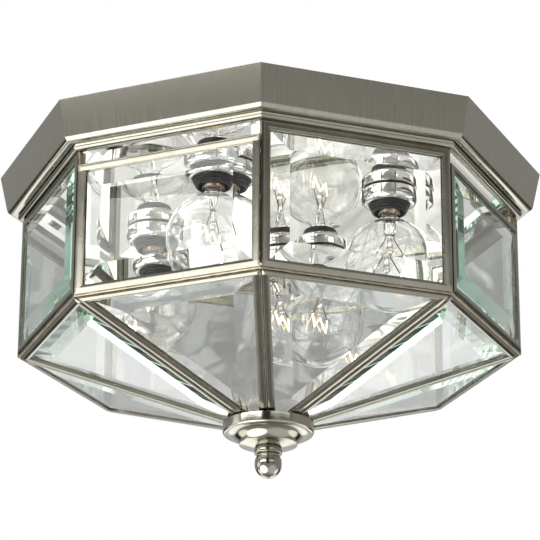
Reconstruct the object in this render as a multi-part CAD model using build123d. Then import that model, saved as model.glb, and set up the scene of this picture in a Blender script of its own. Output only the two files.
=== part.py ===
from build123d import *
import math
import os

# Octagonal flush mount ceiling light with bevelled glass, four globe bulbs and a screw-on finial.
# Millimetres. The origin is on the ceiling, on the light's axis; +Z points up into the ceiling.
# One corner of the octagon faces the front (-Y).

# Octagon
side_count = 8

# Canopy, a tapered sheet metal band with a flange turned in at its foot
canopy_top_width = 292.0
canopy_lip_width = 282.2
canopy_height = 23.5
canopy_sheet = 1.0
canopy_bend_radius = 4.0
canopy_flange_opening = 252.0

# Polished reflector plate under the flange, with a raised middle that carries the sockets,
# two small holes, and a rim that reaches a little past the cage's faces
reflector_sheet = 0.8
reflector_rim_cover = 1.5
reflector_step_gap = 3.0
reflector_step_run = 3.0
reflector_raise = 2.3
plate_hole_radius = 2.6
plate_hole_distance = 46.0
plate_hole_angle = 34.4

# Glass cage; every second upper panel is shorter and leaves an air slot under the collar
cage_width = 267.0
collar_round = 2.3
collar_depth = 2.5
collar_neck_height = 1.4
collar_neck_inset = 1.2
side_height = 83.5
vent_height = 6.8
lower_slope = 19.8
frame_depth = 4.8
strip_width = 4.7
top_strip_width = 4.0
rib_strip_width = 3.9
strip_edge_chamfer = 0.6
corner_gap = 1.3
corner_solder_inset = 2.0
rib_solder_inset = 0.9
waist_gap = 2.4
waist_solder_inset = 1.6
rib_head_clearance = 0.4
waist_bead_radius = 1.05

# Bevelled panes held in a groove of each frame
glass_thickness = 4.0
glass_edge = 1.6
bevel_width = 12.7
groove_depth = 2.2
groove_inner_lip = 1.2
glass_clearance = 0.15

# Hub where the ribs meet, and the turned cap below it
hub_width = 28.0
hub_overlap = 2.0
cap_rim_radius = 25.9
cap_wall = 1.0
cap_rib_clearance = 0.15
cap_band_height = 4.9
cap_round = 1.6
cap_cove_run = 7.7
cap_cove_drop = 5.5
cap_step = 0.6
cap_foot_radius = 7.9
cap_foot_drop = 1.8
cap_boss_radius = 7.0

# Centre rod, its nuts and washer
rod_radius = 3.0
rod_hole_clearance = 0.5
rod_thread_clearance = 0.08
nut_width = 11.0
nut_height = 4.5
plate_washer_radius = 9.0
plate_washer_thickness = 1.0

# Finial and the washer above it
finial_washer_radius = 6.8
finial_washer_thickness = 0.8
finial_collar_radius = 7.9
finial_collar_height = 2.8
finial_groove_radius = 5.7
finial_groove_height = 0.9
finial_bead_radius = 6.95
finial_bead_height = 0.6
finial_neck_radius = 6.2
finial_neck_height = 0.5
finial_knob_radius = 7.63
finial_knob_height = 11.9
finial_knob_shoulder = 1.2
finial_knob_straight = 2.5
finial_edge_radius = 0.5
finial_bore_depth = 11.6
rod_end_gap = 1.0

# Mounting crossbar: its slots suit outlet boxes with either of the two common screw spacings
crossbar_length = 106.0
crossbar_width = 20.0
crossbar_thickness = 2.0
crossbar_corner_radius = 8.0
box_spacing_small = 69.85
box_spacing_large = 88.9
slot_width = 4.8
ground_screw_x = -17.5
ground_screw_radius = 2.1
ground_screw_head_radius = 3.5
ground_screw_head_height = 1.8

# Sockets
socket_count = 4
socket_circle_radius = 74.4
socket_first_angle = -22.5
socket_neck_radius = 9.2
socket_neck_clearance = 0.2
socket_top_height = 11.5
socket_nut_width = 24.0
socket_nut_height = 3.0
socket_washer_radius = 14.6
socket_washer_thickness = 0.7
cup_radius = 16.0
cup_wall = 0.8
cup_height = 8.3
cup_round = 3.8
cup_top_round = 0.6
socket_mouth_radius = 11.9
socket_mouth_drop = 0.6
socket_foot_radius = 9.9
socket_ring_count = 3
socket_ring_height = 1.4
socket_ring_groove = 0.5
socket_entry_radius = 8.7
socket_entry_depth = 3.6
shell_radius = 6.3
shell_wall = 0.4
shell_clearance = 0.1
shell_height = 12.8
contact_radius = 2.6
contact_thickness = 0.8

# Globe bulbs with a small screw base
bulb_globe_radius = 26.0
bulb_globe_drop = 44.3
bulb_neck_radius = 5.7
bulb_flare_radius = 5.0
bulb_glass_wall = 0.7
bulb_neck_inset = 2.5
bulb_seal_thickness = 2.5
bulb_thread_radius = 5.95
bulb_thread_depth = 0.4
bulb_thread_pitch = 2.54
bulb_thread_turns = 4
bulb_base_wall = 0.4
bulb_rim_radius = 6.2
bulb_rim_height = 7.9
bulb_rim_flare = 0.8
contact_tip_radius = 2.4
contact_tip_top_radius = 1.7
contact_tip_height = 1.8
base_cone_height = 1.2
stem_radius = 3.7
stem_length = 13.0
stem_rod_radius = 1.6
stem_rod_length = 9.5
stem_ball_radius = 2.2
wire_radius = 0.35
wire_bend_radius = 0.5
wire_spread = 2.4
wire_straight = 2.0
filament_spread = 8.5
filament_top_drop = 1.4
filament_drop = 8.8
filament_inner_spread = 6.5
filament_peak_drop = 0.6
filament_turns = (65.0, 5.0, 60.0, 120.0)

# Wiring in the canopy
lead_radius = 1.0
lead_bend_radius = 2.6
hot_lead_depth = 4.4
neutral_lead_depth = 7.2
lead_terminal_offset = 3.6
splice_cap_distance = 24.0
splice_cap_radius = 4.2
splice_cap_wall = 0.9
splice_cap_height = 12.0
splice_ring_radius = 2.1
splice_lead_entry = 5.0

# Levels, from the ceiling down
side_angle_step = 360 / side_count
half_angle = math.radians(side_angle_step / 2)
flange_z = -canopy_height
rim_z = flange_z - reflector_sheet
plate_z = rim_z + reflector_raise
plate_top_z = plate_z + reflector_sheet
collar_z = rim_z
collar_round_z = collar_z - collar_round
frame_top_z = collar_round_z - collar_neck_height
waist_z = frame_top_z - side_height

# Shared directions and reaches
cage_face = cage_width / 2
frame_back = cage_face - frame_depth
slope = math.radians(lower_slope)
far = 2 * canopy_top_width
selection_tolerance = 0.05


def side_angle(index):
    """Direction of a side's outward normal, in degrees; side 0 is at the front right."""
    return -90 + side_angle_step / 2 + side_angle_step * index


def corner_angle(index):
    """Direction of an octagon corner, in degrees; corner 0 faces the front."""
    return -90 + side_angle_step * index


def turned(shape, degrees):
    """The shape turned about the light's axis."""
    return Rot(0, 0, degrees) * shape


def upright_face(*points):
    """A closed outline of (distance from the axis, height) points as a face."""
    return Plane.XZ * make_face(Polyline(*points, close=True))


def round_solid(*edges):
    """A turned piece: the outline's edges, in (radius, height), swept about the axis."""
    return revolve(Plane.XZ * make_face(list(edges)), axis=Axis.Z)


def turned_piece(*points):
    """A turned piece with a straight-edged outline of (radius, height) points."""
    return revolve(upright_face(*points), axis=Axis.Z)


def disc(radius, bottom, top, hole=0):
    """A flat round piece between two heights, with an optional hole."""
    return turned_piece((hole, bottom), (radius, bottom), (radius, top), (hole, top))


def octagon_prism(width, bottom, top):
    """An octagonal prism with the given width across its flats."""
    outline = RegularPolygon(width / 2, side_count, major_radius=False)
    return extrude(Pos(0, 0, bottom) * outline, top - bottom)


def octagon_taper(bottom_width, bottom, top_width, top):
    """An octagonal prism whose width across the flats changes with height."""
    low = Pos(0, 0, bottom) * RegularPolygon(bottom_width / 2, side_count, major_radius=False)
    high = Pos(0, 0, top) * RegularPolygon(top_width / 2, side_count, major_radius=False)
    return loft([low.face(), high.face()], ruled=True)


def hex_nut(width, bottom, top, hole):
    """A hexagon nut on the axis."""
    blank = extrude(Pos(0, 0, bottom) * RegularPolygon(width / 2, 6, major_radius=False), top - bottom)
    return blank - Pos(0, 0, (bottom + top) / 2) * Cylinder(hole, top - bottom)


def mitre_wedge(gap):
    """The space of one side of the octagon, between its two corner planes, less half a gap each."""
    start = gap / 2 / math.sin(half_angle)
    spread = far * math.tan(half_angle)
    outline = make_face(Polyline((start, 0), (start + far, -spread), (start + far, spread), close=True))
    return extrude(outline, far, both=True)


def mitred_side(section, gap=0):
    """A bar of the given upright section along one side, mitred at the corners."""
    return extrude(section, far, both=True) & mitre_wedge(gap)


def mitred_ring(section):
    """The bar carried round all sides as one piece."""
    bar = mitred_side(section)
    sides = [turned(bar, side_angle(index)) for index in range(side_count)]
    return sides[0] + sides[1:]


def corner_bar(section, thickness):
    """A flat bar of the given upright section, standing on a corner plane."""
    return extrude(section, thickness / 2, both=True)


# Canopy

def make_canopy():
    wall_top = canopy_top_width / 2
    wall_foot = canopy_lip_width / 2
    taper = (wall_top - wall_foot) / canopy_height
    wall_run = canopy_sheet * math.hypot(1, taper)
    opening = canopy_flange_opening / 2
    flange_top = flange_z + canopy_sheet
    inner_foot = wall_foot + taper * canopy_sheet - wall_run
    section = make_face(Polyline(
        (wall_top, 0),
        (wall_foot, flange_z),
        (opening, flange_z),
        (opening, flange_top),
        (inner_foot, flange_top),
        (wall_top - wall_run, 0),
        close=True,
    ))
    outer_bend = section.vertices().sort_by_distance(Vector(wall_foot, flange_z))[0]
    section = fillet(outer_bend, canopy_bend_radius)
    inner_bend = section.vertices().sort_by_distance(Vector(inner_foot, flange_top))[0]
    section = fillet(inner_bend, canopy_bend_radius - canopy_sheet)
    return mitred_ring(Plane.XZ * section)


# Reflector plate

reflector_rim_width = cage_width + 2 * reflector_rim_cover
reflector_step_width = canopy_flange_opening - 2 * reflector_step_gap


def socket_places():
    """The angle about the axis and the position of each socket."""
    places = []
    for index in range(socket_count):
        angle = corner_angle(0) + socket_first_angle + 360 / socket_count * index
        direction = Vector(math.cos(math.radians(angle)), math.sin(math.radians(angle)))
        places.append((angle, direction * socket_circle_radius))
    return places


def at_sockets(shape):
    """Copies of a piece made on the axis, one at each socket and turned to face the axis."""
    return [Pos(place) * turned(shape, angle) for angle, place in socket_places()]


def make_reflector_plate():
    step_top_width = reflector_step_width - 2 * reflector_step_run
    wall = 2 * reflector_sheet
    rim = octagon_prism(reflector_rim_width, rim_z, flange_z)
    raised = octagon_taper(reflector_step_width + wall, rim_z, step_top_width + wall, plate_top_z)
    hollow = octagon_taper(reflector_step_width, rim_z, step_top_width, plate_z)
    plate = rim + raised - hollow
    neck_hole = Cylinder(socket_neck_radius + socket_neck_clearance, far)
    plate -= at_sockets(neck_hole)
    plate -= Cylinder(rod_radius + rod_hole_clearance, far)
    for way in (-1, 1):
        small_hole = Pos(way * plate_hole_distance, 0) * Cylinder(plate_hole_radius, far)
        plate -= turned(small_hole, plate_hole_angle)
    return plate


# Glass cage: collar, frames, panes and solder

def slope_face_z(distance):
    """Height of the lower panels' outer plane at a distance from the axis, square to a side."""
    return waist_z - (cage_face - distance) * math.tan(slope)


def slope_back_z(distance):
    """Height of the lower frames' inner plane."""
    return slope_face_z(distance) + frame_depth / math.cos(slope)


# The waist mitre runs from the outer edge to where the two inner planes meet
waist_mitre = Vector(-frame_depth, slope_back_z(frame_back) - waist_z).normalized()
waist_across = Vector(waist_mitre.Y, -waist_mitre.X)


def waist_line_z(distance, offset):
    """Height of a plane beside the waist mitre, moved by an offset towards the upper panels."""
    edge_x = cage_face + waist_across.X * offset
    edge_z = waist_z + waist_across.Y * offset
    return edge_z + (distance - edge_x) * waist_mitre.Y / waist_mitre.X


def waist_line_meets_slope(back):
    """Distance from the axis where the plane below the waist mitre meets a lower panel plane."""
    grade = waist_mitre.Y / waist_mitre.X
    start = waist_line_z(0, -waist_gap / 2)
    plane_start = slope_back_z(0) if back else slope_face_z(0)
    return (plane_start - start) / (grade - math.tan(slope))


def make_top_collar():
    """The rounded rail, with a neck under it on the sides whose panels reach up to it."""
    back = cage_face - collar_depth
    neck_face = cage_face - collar_neck_inset
    bow = collar_round * math.sqrt(0.5)
    rail = make_face([
        Line((back, collar_z), (cage_face + collar_round, collar_z)),
        ThreePointArc(
            (cage_face + collar_round, collar_z),
            (cage_face + bow, collar_z - bow),
            (cage_face, collar_round_z),
        ),
        Polyline((cage_face, collar_round_z), (back, collar_round_z), (back, collar_z)),
    ])
    neck = upright_face(
        (back, collar_round_z),
        (neck_face, collar_round_z),
        (neck_face, frame_top_z),
        (back, frame_top_z),
    )
    bar = mitred_side(neck, corner_gap)
    bars = [turned(bar, side_angle(index)) for index in range(0, side_count, 2)]
    return mitred_ring(Plane.XZ * rail) + bars


# Each panel has its own flat frame of reference: x along the side, y up the panel, z outwards
upper_plane = Plane(origin=(cage_face, 0, waist_z), x_dir=(0, 1, 0), z_dir=(1, 0, 0))
lower_plane = Plane(
    origin=(cage_face, 0, waist_z),
    x_dir=(0, 1, 0),
    z_dir=(math.sin(slope), 0, -math.cos(slope)),
)

upper_foot = waist_line_z(cage_face, waist_gap / 2) - waist_z
lower_head = (cage_face - waist_line_meets_slope(False)) / math.cos(slope)
lower_length = (cage_face - hub_width / 2) / math.cos(slope)
lower_side_lean = math.atan(math.cos(slope) * math.tan(half_angle))


def half_width(distance):
    """Half the width of a frame's outer face at a distance from the axis."""
    return distance * math.tan(half_angle) - corner_gap / 2 / math.cos(half_angle)


def upper_outline(inset, drop=0):
    """Corners of an upper panel's frame, moved in from the frame's edge; its top strip is narrower."""
    reach = half_width(cage_face) - inset
    low = upper_foot + inset
    high = side_height - drop - inset + strip_width - top_strip_width
    return [(-reach, low), (reach, low), (reach, high), (-reach, high)]


def vented_outline(inset):
    """The same for a panel that is lowered to leave the air slot."""
    return upper_outline(inset, vent_height)


def lower_outline(inset):
    """Corners of a lower panel's frame, moved in from the frame's edge; its rib strips are narrower."""
    corners = []
    for run, way in ((lower_length - inset, -1), (lower_length - inset, 1),
                     (lower_head + inset, 1), (lower_head + inset, -1)):
        rib_inset = inset - strip_width + rib_strip_width
        reach = half_width(cage_face - run * math.cos(slope)) - rib_inset / math.cos(lower_side_lean)
        corners.append((way * reach, -run))
    return corners


def flat_solid(corners, bottom, top):
    """A flat plate with the given corners, between two depths of its panel."""
    return extrude(Pos(0, 0, bottom) * make_face(Polyline(*corners, close=True)), top - bottom)


bevel_angle = math.atan((glass_thickness - glass_edge) / bevel_width)
groove_low = -frame_depth + groove_inner_lip
groove_high = groove_low + glass_edge + groove_depth * math.tan(bevel_angle) + 2 * glass_clearance
pane_inset = strip_width - groove_depth + glass_clearance
pane_back = groove_low + glass_clearance


def make_frame(section, plane, outline):
    """A panel's metal binding: a mitred blank with a window, a glass groove and softened edges."""
    blank = mitred_side(section, corner_gap)
    window = plane * flat_solid(outline(strip_width), -2 * frame_depth, frame_depth)
    groove = plane * flat_solid(outline(strip_width - groove_depth), groove_low, groove_high)
    frame = blank - window - groove
    face = frame.faces().sort_by(Axis(plane.origin, plane.z_dir))[-1]
    return chamfer(face.edges(), strip_edge_chamfer)


def make_upper_frame(top, outline):
    section = upright_face(
        (cage_face, top),
        (cage_face, waist_line_z(cage_face, waist_gap / 2)),
        (frame_back, waist_line_z(frame_back, waist_gap / 2)),
        (frame_back, top),
    )
    return make_frame(section, upper_plane, outline)


def make_lower_frame():
    head_face = waist_line_meets_slope(False)
    head_back = waist_line_meets_slope(True)
    foot = hub_width / 2
    section = upright_face(
        (head_face, slope_face_z(head_face)),
        (foot, slope_face_z(foot)),
        (foot, slope_back_z(foot)),
        (head_back, slope_back_z(head_back)),
    )
    return make_frame(section, lower_plane, lower_outline)


def make_pane(plane, outline):
    """A clear pane whose outer face is ground to a bevel along every edge."""
    corners = outline(pane_inset)
    pane = flat_solid(corners, pane_back, pane_back + glass_thickness)
    for start, end in zip(corners, corners[1:] + corners[:1]):
        along = (Vector(*end) - Vector(*start)).normalized()
        outward = Vector(along.Y, -along.X)
        bevel_face = Plane(
            origin=Vector(*start) + Vector(0, 0, pane_back + glass_edge),
            x_dir=along,
            z_dir=outward * math.sin(bevel_angle) + Vector(0, 0, math.cos(bevel_angle)),
        )
        pane -= bevel_face * Box(2 * far, 2 * far, far, align=(Align.CENTER, Align.CENTER, Align.MIN))
    return plane * pane


def corner_radius(distance):
    """Distance from the axis to a corner of the octagon with the given half width across its flats."""
    return distance / math.cos(half_angle)


def make_corner_solder():
    """The solder between two upper frames, set back behind their faces and run up to the collar."""
    face = cage_face - corner_solder_inset
    section = upright_face(
        (corner_radius(frame_back), collar_round_z),
        (corner_radius(frame_back), waist_line_z(frame_back, waist_gap / 2)),
        (corner_radius(face), waist_line_z(face, waist_gap / 2)),
        (corner_radius(face), collar_round_z),
    )
    return corner_bar(section, corner_gap)


def make_rib_solder():
    """The solder along a rib, between two lower frames."""
    sink = rib_solder_inset / math.cos(slope)
    head_face = waist_line_meets_slope(False) - rib_head_clearance
    head_back = waist_line_meets_slope(True) - rib_head_clearance
    share = rib_solder_inset / frame_depth
    head = head_face + (head_back - head_face) * share
    foot = hub_width / 2
    section = upright_face(
        (corner_radius(head), slope_face_z(head) + sink),
        (corner_radius(foot), slope_face_z(foot) + sink),
        (corner_radius(foot), slope_back_z(foot)),
        (corner_radius(head_back), slope_back_z(head_back)),
    )
    return corner_bar(section, corner_gap)


def make_waist_bead():
    """The solder filling between upper and lower frames, with a round bead along its outer edge."""
    head_back = waist_line_meets_slope(True)
    edge = Vector(cage_face, waist_z) + waist_mitre * waist_solder_inset
    half = waist_across * (waist_gap / 2)
    filling = make_face(Polyline(
        edge + half,
        Vector(frame_back, waist_line_z(frame_back, waist_gap / 2)),
        Vector(head_back, slope_back_z(head_back)),
        edge - half,
        close=True,
    ))
    bead = Pos(edge) * Circle(waist_bead_radius)
    return mitred_ring(Plane.XZ * (filling + bead))


# Hub and cap

hub_bottom = slope_face_z(hub_width / 2) - hub_overlap
hub_top = slope_back_z(hub_width / 2) + hub_overlap
rod_hole = rod_radius + rod_hole_clearance
cap_rim_inner = cap_rim_radius - cap_wall
cap_top = slope_face_z(cap_rim_inner * math.cos(half_angle)) - cap_rib_clearance
cap_step_z = cap_top - cap_band_height - cap_round - cap_cove_drop
cap_step_radius = cap_rim_radius - cap_round - cap_cove_run
cap_bottom = cap_step_z - cap_step - cap_foot_drop


def make_bottom_hub():
    return octagon_prism(hub_width, hub_bottom, hub_top) - Cylinder(rod_hole, far)


def make_bottom_cap():
    band_foot = cap_top - cap_band_height
    round_end = cap_rim_radius - cap_round
    bow = cap_round * math.sqrt(0.5)
    inner_floor = cap_step_z + cap_wall / 2
    inner_corner = cap_step_radius - cap_wall
    inner_round_z = band_foot - cap_round + cap_wall
    return round_solid(
        Line((cap_rim_inner, cap_top), (cap_rim_radius, cap_top)),
        Line((cap_rim_radius, cap_top), (cap_rim_radius, band_foot)),
        ThreePointArc(
            (cap_rim_radius, band_foot),
            (round_end + bow, band_foot - bow),
            (round_end, band_foot - cap_round),
        ),
        TangentArc((round_end, band_foot - cap_round), (cap_step_radius, cap_step_z), tangent=(-1, 0)),
        Polyline(
            (cap_step_radius, cap_step_z),
            (cap_step_radius - cap_step, cap_step_z - cap_step),
            (cap_foot_radius, cap_bottom),
            (rod_hole, cap_bottom),
            (rod_hole, hub_bottom),
            (cap_boss_radius, hub_bottom),
            (cap_boss_radius, inner_floor),
            (inner_corner, inner_floor),
        ),
        TangentArc((round_end, inner_round_z), (inner_corner, inner_floor), tangent=(-1, 0)),
        Polyline((round_end, inner_round_z), (cap_rim_inner, band_foot), (cap_rim_inner, cap_top)),
    )


# Finial and centre rod

finial_top = cap_bottom - finial_washer_thickness
collar_foot = finial_top - finial_collar_height
bead_top = collar_foot - finial_groove_height
bead_foot = bead_top - finial_bead_height
knob_top = bead_foot - finial_neck_height
knob_bottom = knob_top - finial_knob_height
bore_end = finial_top - finial_bore_depth
rod_bottom = bore_end + rod_end_gap


def make_finial_washer():
    return disc(finial_washer_radius, finial_top, cap_bottom, rod_hole)


def make_finial():
    """Collar, groove, a small bead, and a knob with straight sides and a round end."""
    bore = rod_radius + rod_thread_clearance
    ball_z = knob_bottom + finial_knob_radius
    side_top = ball_z + finial_knob_straight
    bow = finial_knob_radius * math.sqrt(0.5)
    shoulder = finial_knob_radius - finial_knob_shoulder
    body = round_solid(
        Polyline(
            (bore, finial_top),
            (finial_collar_radius, finial_top),
            (finial_collar_radius, collar_foot),
            (finial_groove_radius, collar_foot),
            (finial_groove_radius, bead_top),
            (finial_bead_radius, bead_top),
            (finial_bead_radius, bead_foot),
            (finial_neck_radius, bead_foot),
            (finial_neck_radius, knob_top),
            (shoulder, knob_top),
        ),
        Spline(
            (shoulder, knob_top),
            (finial_knob_radius, side_top),
            tangents=((1, -1), (0, -1)),
        ),
        Line((finial_knob_radius, side_top), (finial_knob_radius, ball_z)),
        ThreePointArc((finial_knob_radius, ball_z), (bow, ball_z - bow), (0, knob_bottom)),
        Polyline((0, knob_bottom), (0, bore_end), (bore, bore_end), (bore, finial_top)),
    )
    collar_edges = body.edges().filter_by(GeomType.CIRCLE).filter_by(
        lambda edge: abs(edge.radius - finial_collar_radius) < selection_tolerance
    )
    return fillet(collar_edges, finial_edge_radius)


def make_center_rod():
    return disc(rod_radius, rod_bottom, 0)


def make_rod_nuts():
    """One nut locks the rod under the crossbar, the other clamps the reflector plate up."""
    hole = rod_radius + rod_thread_clearance
    lock_top = -crossbar_thickness
    clamp_top = plate_z - plate_washer_thickness
    return [
        hex_nut(nut_width, lock_top - nut_height, lock_top, hole),
        hex_nut(nut_width, clamp_top - nut_height, clamp_top, hole),
    ]


def make_plate_washer():
    return disc(plate_washer_radius, plate_z - plate_washer_thickness, plate_z, rod_hole)


# Crossbar

slot_spacing = (box_spacing_small + box_spacing_large) / 2
slot_length = (box_spacing_large - box_spacing_small) / 2 + slot_width


def make_mounting_crossbar():
    outline = RectangleRounded(crossbar_length, crossbar_width, crossbar_corner_radius)
    for way in (-1, 1):
        outline -= Pos(way * slot_spacing / 2, 0) * SlotOverall(slot_length, slot_width)
    outline -= Circle(rod_radius + rod_thread_clearance)
    outline -= Pos(ground_screw_x, 0) * Circle(ground_screw_radius + rod_thread_clearance)
    return extrude(Pos(0, 0, -crossbar_thickness) * outline, crossbar_thickness)


def make_ground_screw():
    head_top = -crossbar_thickness
    head_bottom = head_top - ground_screw_head_height
    screw = turned_piece(
        (0, head_bottom),
        (ground_screw_head_radius, head_bottom),
        (ground_screw_head_radius, head_top),
        (ground_screw_radius, head_top),
        (ground_screw_radius, 0),
        (0, 0),
    )
    slot = Box(2 * ground_screw_head_radius, ground_screw_head_height / 2, ground_screw_head_height)
    screw -= Pos(0, 0, head_bottom) * slot
    return Pos(ground_screw_x, 0) * screw


# Sockets, each made on the axis and then copied to its place

washer_z = plate_z - socket_washer_thickness
cup_foot = washer_z - cup_height
ring_top = cup_foot - socket_mouth_drop
socket_bottom = ring_top - socket_ring_count * socket_ring_height
socket_top = plate_z + socket_top_height
shell_bottom = cup_foot + socket_entry_depth
shell_top = shell_bottom + shell_height
contact_top = shell_top + contact_thickness


def make_socket_washer():
    return disc(socket_washer_radius, washer_z, plate_z, socket_neck_radius + socket_neck_clearance)


def make_socket_cup():
    neck = socket_neck_radius + socket_neck_clearance
    inner = cup_radius - cup_wall
    mouth = cup_radius - cup_round
    bend_z = cup_foot + cup_round
    bow = cup_round * math.sqrt(0.5)
    inner_round = cup_round - cup_wall
    inner_bow = inner_round * math.sqrt(0.5)
    cup = round_solid(
        Polyline((neck, washer_z), (cup_radius, washer_z), (cup_radius, bend_z)),
        ThreePointArc((cup_radius, bend_z), (mouth + bow, bend_z - bow), (mouth, cup_foot)),
        Line((mouth, cup_foot), (mouth, cup_foot + cup_wall)),
        ThreePointArc(
            (mouth, cup_foot + cup_wall),
            (mouth + inner_bow, bend_z - inner_bow),
            (inner, bend_z),
        ),
        Polyline(
            (inner, bend_z),
            (inner, washer_z - cup_wall),
            (neck, washer_z - cup_wall),
            (neck, washer_z),
        ),
    )
    rim = cup.edges().filter_by(GeomType.CIRCLE).sort_by(Axis.Z).filter_by(
        lambda edge: abs(edge.radius - cup_radius) < selection_tolerance
    )[-1]
    return fillet(rim, cup_top_round)


def make_socket_body():
    """The moulded body: its mouth hangs below the cup as a stack of rings that get narrower."""
    shoulder = washer_z - cup_wall
    bore = shell_radius + shell_wall + shell_clearance
    narrowing = (socket_mouth_radius - socket_foot_radius) / socket_ring_count
    points = [
        (0, socket_top),
        (socket_neck_radius, socket_top),
        (socket_neck_radius, shoulder),
        (socket_mouth_radius, shoulder),
        (socket_mouth_radius, ring_top),
    ]
    for ring in range(1, socket_ring_count + 1):
        radius = socket_mouth_radius - narrowing * ring
        foot = ring_top - socket_ring_height * ring
        points.append((radius, foot + socket_ring_height))
        points.append((radius, foot + socket_ring_groove))
        points.append((radius - socket_ring_groove, foot))
    points += [
        (socket_entry_radius, socket_bottom),
        (socket_entry_radius, shell_bottom),
        (bore, shell_bottom),
        (bore, contact_top),
        (0, contact_top),
    ]
    return turned_piece(*points)


def make_socket_shell():
    return disc(shell_radius + shell_wall, shell_bottom, shell_top, shell_radius)


def make_socket_contact():
    return disc(contact_radius, shell_top, contact_top)


def make_socket_nut():
    hole = socket_neck_radius + socket_neck_clearance
    return hex_nut(socket_nut_width, plate_top_z, plate_top_z + socket_nut_height, hole)


# Bulbs, each made on the axis

globe_z = plate_z - bulb_globe_drop
globe_bottom = globe_z - bulb_globe_radius
tip_bottom = shell_top - contact_tip_height
base_cone_z = tip_bottom - base_cone_height
thread_foot = base_cone_z - bulb_thread_pitch * bulb_thread_turns
rim_top = thread_foot - bulb_rim_flare
rim_foot = rim_top - bulb_rim_height
neck_z = rim_foot + bulb_neck_inset
seal_z = neck_z - bulb_seal_thickness
stem_foot = seal_z - stem_length
ball_z = stem_foot - stem_rod_length
stem_end = ball_z - stem_ball_radius
flare_reach = bulb_globe_radius + bulb_flare_radius
flare_turn = math.asin((bulb_neck_radius + bulb_flare_radius) / flare_reach)
flare_z = globe_z + flare_reach * math.cos(flare_turn)


def envelope_edges(top, wall):
    """The bulb's profile from the neck to the lowest point, at the outer skin or one wall inside it."""
    ball = bulb_globe_radius - wall
    neck = bulb_neck_radius - wall
    hollow = bulb_flare_radius + wall
    meet = Vector(ball * math.sin(flare_turn), globe_z + ball * math.cos(flare_turn))
    middle = (math.pi / 2 - flare_turn) / 2
    flare_middle = (neck + hollow - hollow * math.cos(middle), flare_z - hollow * math.sin(middle))
    return [
        Line((neck, top), (neck, flare_z)),
        ThreePointArc((neck, flare_z), flare_middle, meet),
        ThreePointArc(meet, (ball, globe_z), (0, globe_z - ball)),
    ]


def make_bulb_glass():
    """The envelope and the stem sealed into its neck are one piece of glass."""
    outer = round_solid(
        Polyline((0, globe_bottom), (0, neck_z), (bulb_neck_radius, neck_z)),
        *envelope_edges(neck_z, 0),
    )
    rod_meets_ball = ball_z + math.sqrt(stem_ball_radius ** 2 - stem_rod_radius ** 2)
    hollow = round_solid(
        Line((stem_radius, seal_z), (bulb_neck_radius - bulb_glass_wall, seal_z)),
        *envelope_edges(seal_z, bulb_glass_wall),
        Line((0, globe_bottom + bulb_glass_wall), (0, stem_end)),
        ThreePointArc((0, stem_end), (stem_ball_radius, ball_z), (stem_rod_radius, rod_meets_ball)),
        Polyline(
            (stem_rod_radius, rod_meets_ball),
            (stem_rod_radius, stem_foot),
            (stem_radius, stem_foot),
            (stem_radius, seal_z),
        ),
    )
    return outer - hollow


def make_bulb_base():
    """The screw base: threads drawn as rings, and a flared rim that holds the neck."""
    root = bulb_thread_radius - bulb_thread_depth
    inner = root - bulb_base_wall
    points = [(0, tip_bottom), (contact_tip_radius, tip_bottom), (root, base_cone_z)]
    for turn in range(bulb_thread_turns):
        ring = base_cone_z - bulb_thread_pitch * turn
        points.append((bulb_thread_radius, ring - bulb_thread_pitch / 2))
        points.append((root, ring - bulb_thread_pitch))
    points += [
        (bulb_rim_radius, rim_top),
        (bulb_rim_radius, rim_foot),
        (bulb_rim_radius - bulb_base_wall, rim_foot),
        (bulb_rim_radius - bulb_base_wall, rim_top - bulb_base_wall / 2),
        (inner, thread_foot - bulb_base_wall / 2),
        (inner, base_cone_z - bulb_base_wall),
        (0, base_cone_z - bulb_base_wall),
    ]
    return turned_piece(*points)


def make_bulb_contact():
    return turned_piece(
        (0, tip_bottom),
        (contact_tip_radius, tip_bottom),
        (contact_tip_top_radius, shell_top),
        (0, shell_top),
    )


def make_bulb_filament():
    """Two lead wires from the stem with the folded filament between them."""
    top = stem_end - filament_top_drop
    low = stem_end - filament_drop
    peak = stem_end - filament_peak_drop - wire_radius
    path = Plane.XZ * FilletPolyline(
        (-wire_spread, stem_foot),
        (-wire_spread, stem_foot - wire_straight),
        (-filament_spread, top),
        (-filament_inner_spread, low),
        (0, peak),
        (filament_inner_spread, low),
        (filament_spread, top),
        (wire_spread, stem_foot - wire_straight),
        (wire_spread, stem_foot),
        radius=wire_bend_radius,
    )
    start = Plane(origin=path @ 0, z_dir=path % 0)
    return sweep(start * Circle(wire_radius), path=path)


# Wiring

def splice_place(way):
    """Place of a splice cap, midway between two sockets; the two caps are on opposite sides."""
    angle = math.radians(corner_angle(0) + socket_first_angle + 180 / socket_count)
    return Vector(math.cos(angle), math.sin(angle)) * (way * splice_cap_distance)


splice_top = plate_top_z + splice_cap_height


def make_lead(angle, place, terminal, depth, splice):
    """One insulated lead: up out of a socket, across the canopy and down into a splice cap."""
    across = Vector(-math.sin(math.radians(angle)), math.cos(math.radians(angle)))
    start = place + across * terminal
    end = splice + (start - splice).normalized() * splice_ring_radius
    path = FilletPolyline(
        start + Vector(0, 0, socket_top),
        start + Vector(0, 0, -depth),
        end + Vector(0, 0, -depth),
        end + Vector(0, 0, splice_top - splice_lead_entry),
        radius=lead_bend_radius,
    )
    section = Plane(origin=path @ 0, z_dir=path % 0) * Circle(lead_radius)
    return sweep(section, path=path)


def make_leads(way, depth):
    splice = splice_place(way)
    return [make_lead(angle, place, way * lead_terminal_offset, depth, splice)
            for angle, place in socket_places()]


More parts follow.
